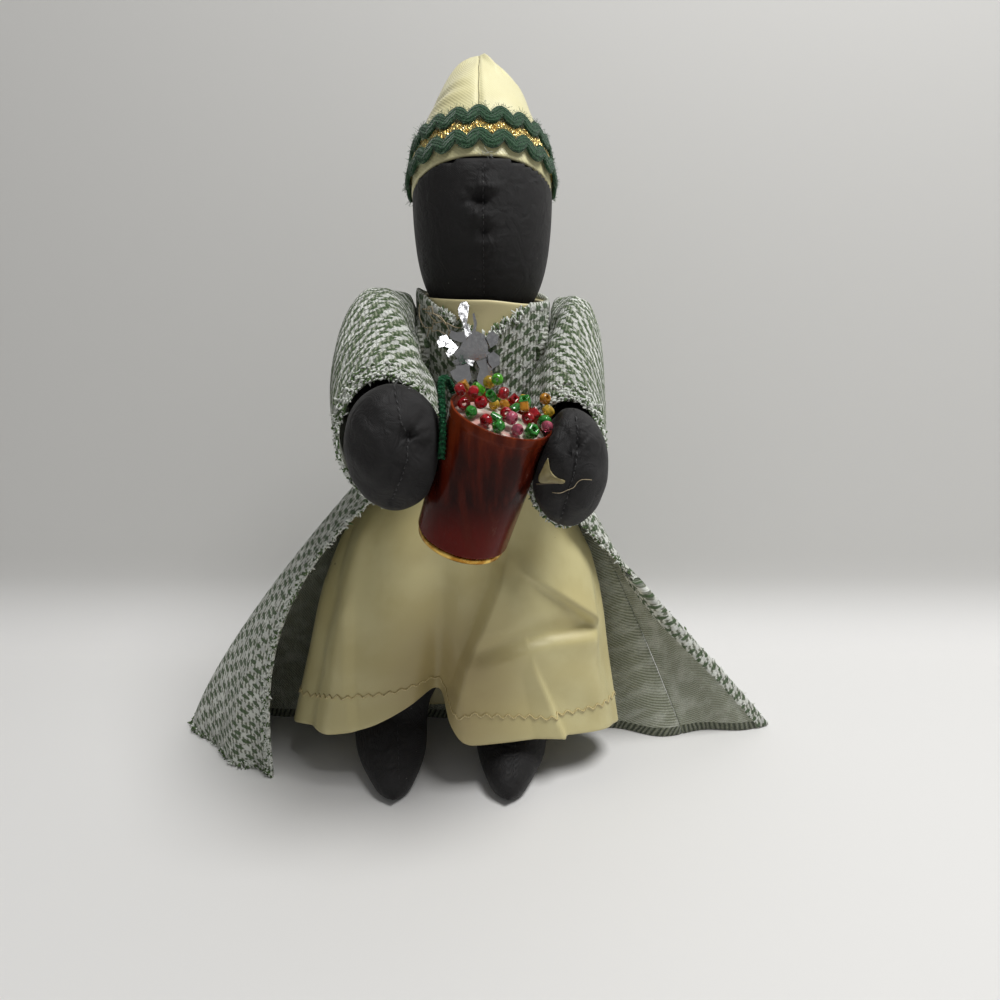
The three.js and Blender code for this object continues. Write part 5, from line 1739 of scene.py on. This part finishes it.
# Flat facets of the crumpled foil: outline points (across, up) from the star's middle, how far
# the facet's middle stands forward, and how much it leans for each millimetre to the right and up
foil_facets = [
    ([(0, 9.3), (3.1, 9.3), (4.7, 4.7), (6.2, -0.4), (4.4, -1.2), (1.9, -1.9), (0, -1.9), (-3, -3.4),
      (-5.8, -3.6), (-7.4, -2.3), (-5.1, -1.2), (-7, 1.2), (-4.3, 2.7), (-2.7, 5.8)], 1.0, -0.06, 0.04),
    ([(-3, -3.4), (0, -1.9), (-0.4, -5.0), (0.4, -8.5), (-1.6, -10.9), (-4.7, -10.5), (-7, -8.5),
      (-8.2, -6.2), (-5.8, -5), (-5.8, -3.6)], 1.6, -0.1, 0.36),
    ([(1.9, -1.9), (4.4, -1.2), (6.2, -0.4), (6.6, -5.8), (7.8, -9.7), (8.6, -12.8), (5.8, -11.6),
      (3.5, -12.0), (2.3, -8.9), (3.5, -5.0)], 1.7, 0.12, 0.3),
    ([(-2.4, -1.6), (0.2, -1.2), (1.6, -1.4), (0.8, -3.6), (-0.6, -3.4)], 1.7, 0.1, 0.8),
    ([(3.1, 9.3), (5.4, 8.1), (7.0, 4.7), (6.6, 1.9), (8.6, 0.4), (7, -1.9), (9.3, -4.3), (7.8, -6.2),
      (10.9, -8.5), (11.3, -11.3), (8.6, -12.8), (7.8, -9.7), (6.6, -5.8), (6.2, -0.4), (4.7, 4.7)],
     1.2, 0.32, 0.06),
    ([(-2.7, 12.8), (-4.3, 15.1), (-4.7, 17.8), (-3.5, 19.8), (-1.6, 20.2), (-0.4, 18.6), (-0.8, 15.9),
      (-1.2, 12.8), (0.8, 8.9), (-1.6, 7.4)], 0.8, 0.2, 0.66),
    ([(2.0, 8.5), (2.6, 12.5), (1.6, 16.3), (0.9, 15.9), (1.4, 12.0), (0.6, 8.9)], 1.1, 0.5, 0.1),
    ([(-4.3, 3.9), (-5.8, 1.9), (-8.2, 0), (-9.3, 1.2), (-8.2, 3.1), (-10.1, 3.9), (-12, 3.5), (-12.8, 5.4),
      (-11.7, 7.4), (-9.3, 7.8), (-8.2, 6.2), (-5.8, 5.4)], 2.0, 0.24, 0.72),
    ([(-1.6, 5.8), (-3.9, 5.4), (-7, 6.2), (-8.6, 7.8), (-7.8, 9.7), (-5.4, 8.9), (-3.1, 9.3), (-0.8, 9.7)],
     1.4, -0.5, 0.25),
    ([(6.2, 6.6), (7, 8.9), (8.9, 9.3), (10.9, 7.4), (10.5, 4.7), (7.8, 3.1)], 1.2, 0.45, 0.1),
    ([(6.6, 0.4), (8.9, 1.6), (11.3, -0.4), (11.3, -3.5), (8.6, -4.7), (7, -2.7)], 1.2, 0.5, 0.3),
]
foil_thickness = 0.3
foil_points, foil_faces = [], []
for outline, forward, lean_right, lean_up in foil_facets:
    outline = np.asarray(outline, float)
    middle = outline.mean(0)
    y = -forward + lean_right * (outline[:, 0] - middle[0]) + lean_up * (outline[:, 1] - middle[1])
    front = star_place + np.stack([outline[:, 0], y, outline[:, 1]], -1)
    start, count = len(foil_points), len(front)
    back = start + count
    foil_points += list(front) + list(front + [0, foil_thickness, 0])
    foil_faces.append([start + i for i in range(count)])
    foil_faces.append([back + i for i in reversed(range(count))])
    for i in range(count):
        j = (i + 1) % count
        foil_faces.append([start + i, back + i, back + j, start + j])
star = add_piece("foil_star_bent", np.array(foil_points), foil_faces, foil)
star.data.shade_flat()
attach(star, "root")
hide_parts("foil_star")

# Cord: a short green metallic string, plaited from fine strands. One end is tucked into the beads,
# and the rest hangs over the rim and down between the hand and the cup.
cord_route = [
    (-9.9, -52.5, 183.5), (-12.1, -55.5, 188.5), (-13.5, -60.5, 188.5),
    (-13.1, -66.5, 183), (-12.7, -70.8, 173), (-13.3, -72.6, 164),
]
cord_finish, tree, sockets = new_finish("green_cord", Metallic=0.6)
spark_away, spark = cells(tree, by_place(tree), 3600.0)
paint(tree, sockets, dye(tree, between(tree, spark, 0.3, 1.0), tint(5, 40, 24), tint(34, 116, 70)))
tree.links.new(between(tree, spark, 0.0, 1.0, 0.5, 0.22), sockets["Roughness"])
raise_up(tree, sockets, spark_away, 0.0003)


def through_stops(stops, count):
    """Points along a smooth line through stops."""
    stops = np.asarray(stops, float)
    steps = walked(stops, 0.5)
    return flowing(np.c_[steps, stops], np.linspace(0, steps[-1], count))


cord_points = in_frame(through_stops(cord_route, 24))
cord_curve = bpy.data.curves.new("green_cord_string", "CURVE")
cord_curve.dimensions = "3D"
cord_curve.bevel_depth = 0.0011
cord_curve.bevel_resolution = 4
cord_curve.use_fill_caps = True
spline = cord_curve.splines.new("POLY")
spline.points.add(len(cord_points) - 1)
for point, place in zip(spline.points, cord_points):
    point.co = (*place, 1)
cord = bpy.data.objects.new("green_cord_string", cord_curve)
cord_curve.materials.append(cord_finish)
scene.collection.objects.link(cord)
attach(cord, "arms")
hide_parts("green_cord")
# four strands plaited round the core
fine_route = through_stops(cord_route, 150)
route_length = walked(fine_route)
route_along = unit(np.gradient(fine_route, axis=0))
route_side = unit(np.cross(route_along, [1, 0.2, 0.1]))
route_other = np.cross(route_along, route_side)
plait_pitch = 3.4
strands = []
for number in range(4):
    way = 1 if number < 2 else -1
    angle = (way * route_length / plait_pitch + number / 2)[:, None] * 2 * math.pi
    outward = route_side * np.cos(angle) + route_other * np.sin(angle)
    path = fine_route + (1.02 + 0.12 * way * np.sin(2 * angle)) * outward
    strands.append(thread(path, 0.46, 6))
cord_strands = threads_piece("green_cord_strands", strands, cord_finish)
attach(cord_strands, "arms")

# Loose bits seen on the finished doll: a beige thread caught on the collar, and at the left hand
# a smear of dried glue, which holds the hand to the cup, with another loose thread.
beige_thread = mottled_finish("beige_thread", (150, 132, 104), (196, 182, 152), 1300.0, 0.00005,
                              Roughness=0.8)
random = np.random.default_rng(12)
loops = []
for number in range(5):
    start = np.array([-24.5 + number * 1.2, -27.5, 210 - number * 0.9])
    stops = [start]
    for _ in range(7):
        stops.append(stops[-1] + np.array([random.uniform(-1.2, 3.4), 0, random.uniform(-3.6, 0.9)]))
    stops = np.array(stops)
    inside = np.clip(np.abs(stops[:, 0]) / 30, 0, 0.95)
    stops[:, 1] = -coat_half_depth * np.sqrt(1 - inside**2) - 2.2 - random.uniform(0, 0.8, len(stops))
    path = flowing(np.c_[np.arange(8), stops], np.linspace(0, 7, 42))
    loops.append(thread(path, 0.2, 5))
collar_thread = threads_piece("collar_loose_thread", loops, beige_thread)
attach(collar_thread, "root")

glue = mottled_finish("dried_glue", (98, 84, 44), (186, 174, 126), 300.0, 0.0002,
                      Roughness=0.35, Coat_Weight=0.2)


def first_met(pieces, x, z):
    """The nearest place to the front at which any of the pieces is met, seen straight on."""
    hits = [piece.ray_cast(Vector(in_frame((x, -120, z))), Vector((0, 1, 0))) for piece in pieces]
    places = [(np.array(place) - doll_foot) * 1000 for hit, place, _, _ in hits if hit]
    return min(places, key=lambda place: place[1])


glue_outline = [
    (23.8, 166.0), (23.3, 163.6), (24.1, 160.7), (26.1, 158.7), (27.9, 157.8), (30.1, 157.7), (29.1, 155.9),
    (26.8, 156.4), (24.1, 156.4), (20.6, 154.8), (19.7, 157.2), (21.1, 159.8), (22.3, 162.9),
]
rim = np.array([first_met([left_arm, cup], x, z) for x, z in glue_outline])
rim[:, 1] = np.minimum(rim[:, 1], rim[:, 1].mean() + 1.5)
rim_middle = rim.mean(0)
# Rings of the smear: share of the outline's size, and how far out they stand
glue_rings = []
for share, out in ((1.0, 0.0), (0.96, -0.35), (0.8, -0.6), (0.45, -0.75)):
    ring = rim_middle + (rim - rim_middle) * share
    if share < 1:
        below = np.array([first_met([left_arm, cup], x, z)[1] for x, _, z in ring])
        ring[:, 1] = np.minimum(below, rim_middle[1] + 1.5)
    ring[:, 1] += out
    glue_rings.append(ring)
glue_back, glue_front = rim_middle + [0, 0.8, 0], rim_middle + [0, -0.75, 0]
glue_smear = stuffed("glue_smear", np.array(glue_rings), glue_back, glue_front, glue)
smoothed(glue_smear)
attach(glue_smear, "arms")
hand_lines = [
    [(19.7, 154.3), (22.4, 155.5), (25.8, 156.4), (28.5, 156.7)],
    [(25.1, 152.8), (27.8, 153.1), (30.2, 154.1), (32.3, 155.1), (33.6, 156.9), (35, 157.9), (37, 157.9),
     (38.6, 157.5)],
]
loose = []
for line in hand_lines:
    path = np.array([first_met([left_arm, cup], x, z) for x, z in line]) + [0, -0.25, 0]
    path = flowing(np.c_[np.arange(len(path)), path], np.linspace(0, len(path) - 1, 40))
    loose.append(thread(path, 0.12, 5))
hand_thread = threads_piece("hand_loose_thread", loose, beige_thread)
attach(hand_thread, "arms")

# Backdrop: one pale sweep of paper, floor and wall in one, behind the finished doll.
# One soft lamp hangs above it and to the doll's left, and the room adds a little light from all round.
sweep_profile = [(-1400, 0), (-300, 0), (70, 0)]
sweep_profile += [(70 + 45 * math.sin(a), 45 - 45 * math.cos(a)) for a in np.linspace(0.15, 1.3, 10)]
sweep_profile += [(160, 200), (540, 1600)]
sweep_points = [(x, y, z - 0.05) for y, z in sweep_profile for x in (-1800, 1800)]
sweep_faces = [[2 * i, 2 * i + 1, 2 * i + 3, 2 * i + 2] for i in range(len(sweep_profile) - 1)]
paper, tree, sockets = new_finish("backdrop_paper", Roughness=0.7)
# painted shade: the upright part of the sweep is darker than the floor
upright = between(tree, x_y_z(tree, by_place(tree))["Z"], 0.0, 0.05)
paint(tree, sockets, dye(tree, upright, tint(226, 225, 223), tint(206, 205, 202)))
# seen from behind, the sweep lets the doll show through
shader_out = tree.nodes["Principled BSDF"].outputs[0]
seen_behind = maths(tree, "MULTIPLY", wire(tree, "LightPath", output=0), wire(tree, "NewGeometry", output=6))
clear = wire(tree, "BsdfTransparent")
paper_mix = wire(tree, "MixShader", {0: seen_behind, 1: shader_out, 2: clear})
tree.links.new(paper_mix, tree.nodes["Material Output"].inputs["Surface"])
sweep = add_piece("backdrop_sweep", sweep_points, sweep_faces, paper)

world = bpy.data.worlds.new("soft_room")
scene.world = world
world.use_nodes = True
world.node_tree.nodes["Background"].inputs["Color"].default_value = (1, 1, 1, 1)
world.node_tree.nodes["Background"].inputs["Strength"].default_value = 0.2

lamp_data = bpy.data.lights.new("top_light", "AREA")
lamp_data.shape = "DISK"
lamp_data.size = 0.55
lamp_data.energy = 15.3
lamp = bpy.data.objects.new("top_light", lamp_data)
lamp.location = in_frame((430, -220, 1330))
lamp_aim = Vector(in_frame((0, -20, 100))) - lamp.location
lamp.rotation_euler = lamp_aim.to_track_quat("-Z", "Y").to_euler()
scene.collection.objects.link(lamp)
scene.view_settings.view_transform = "Standard"
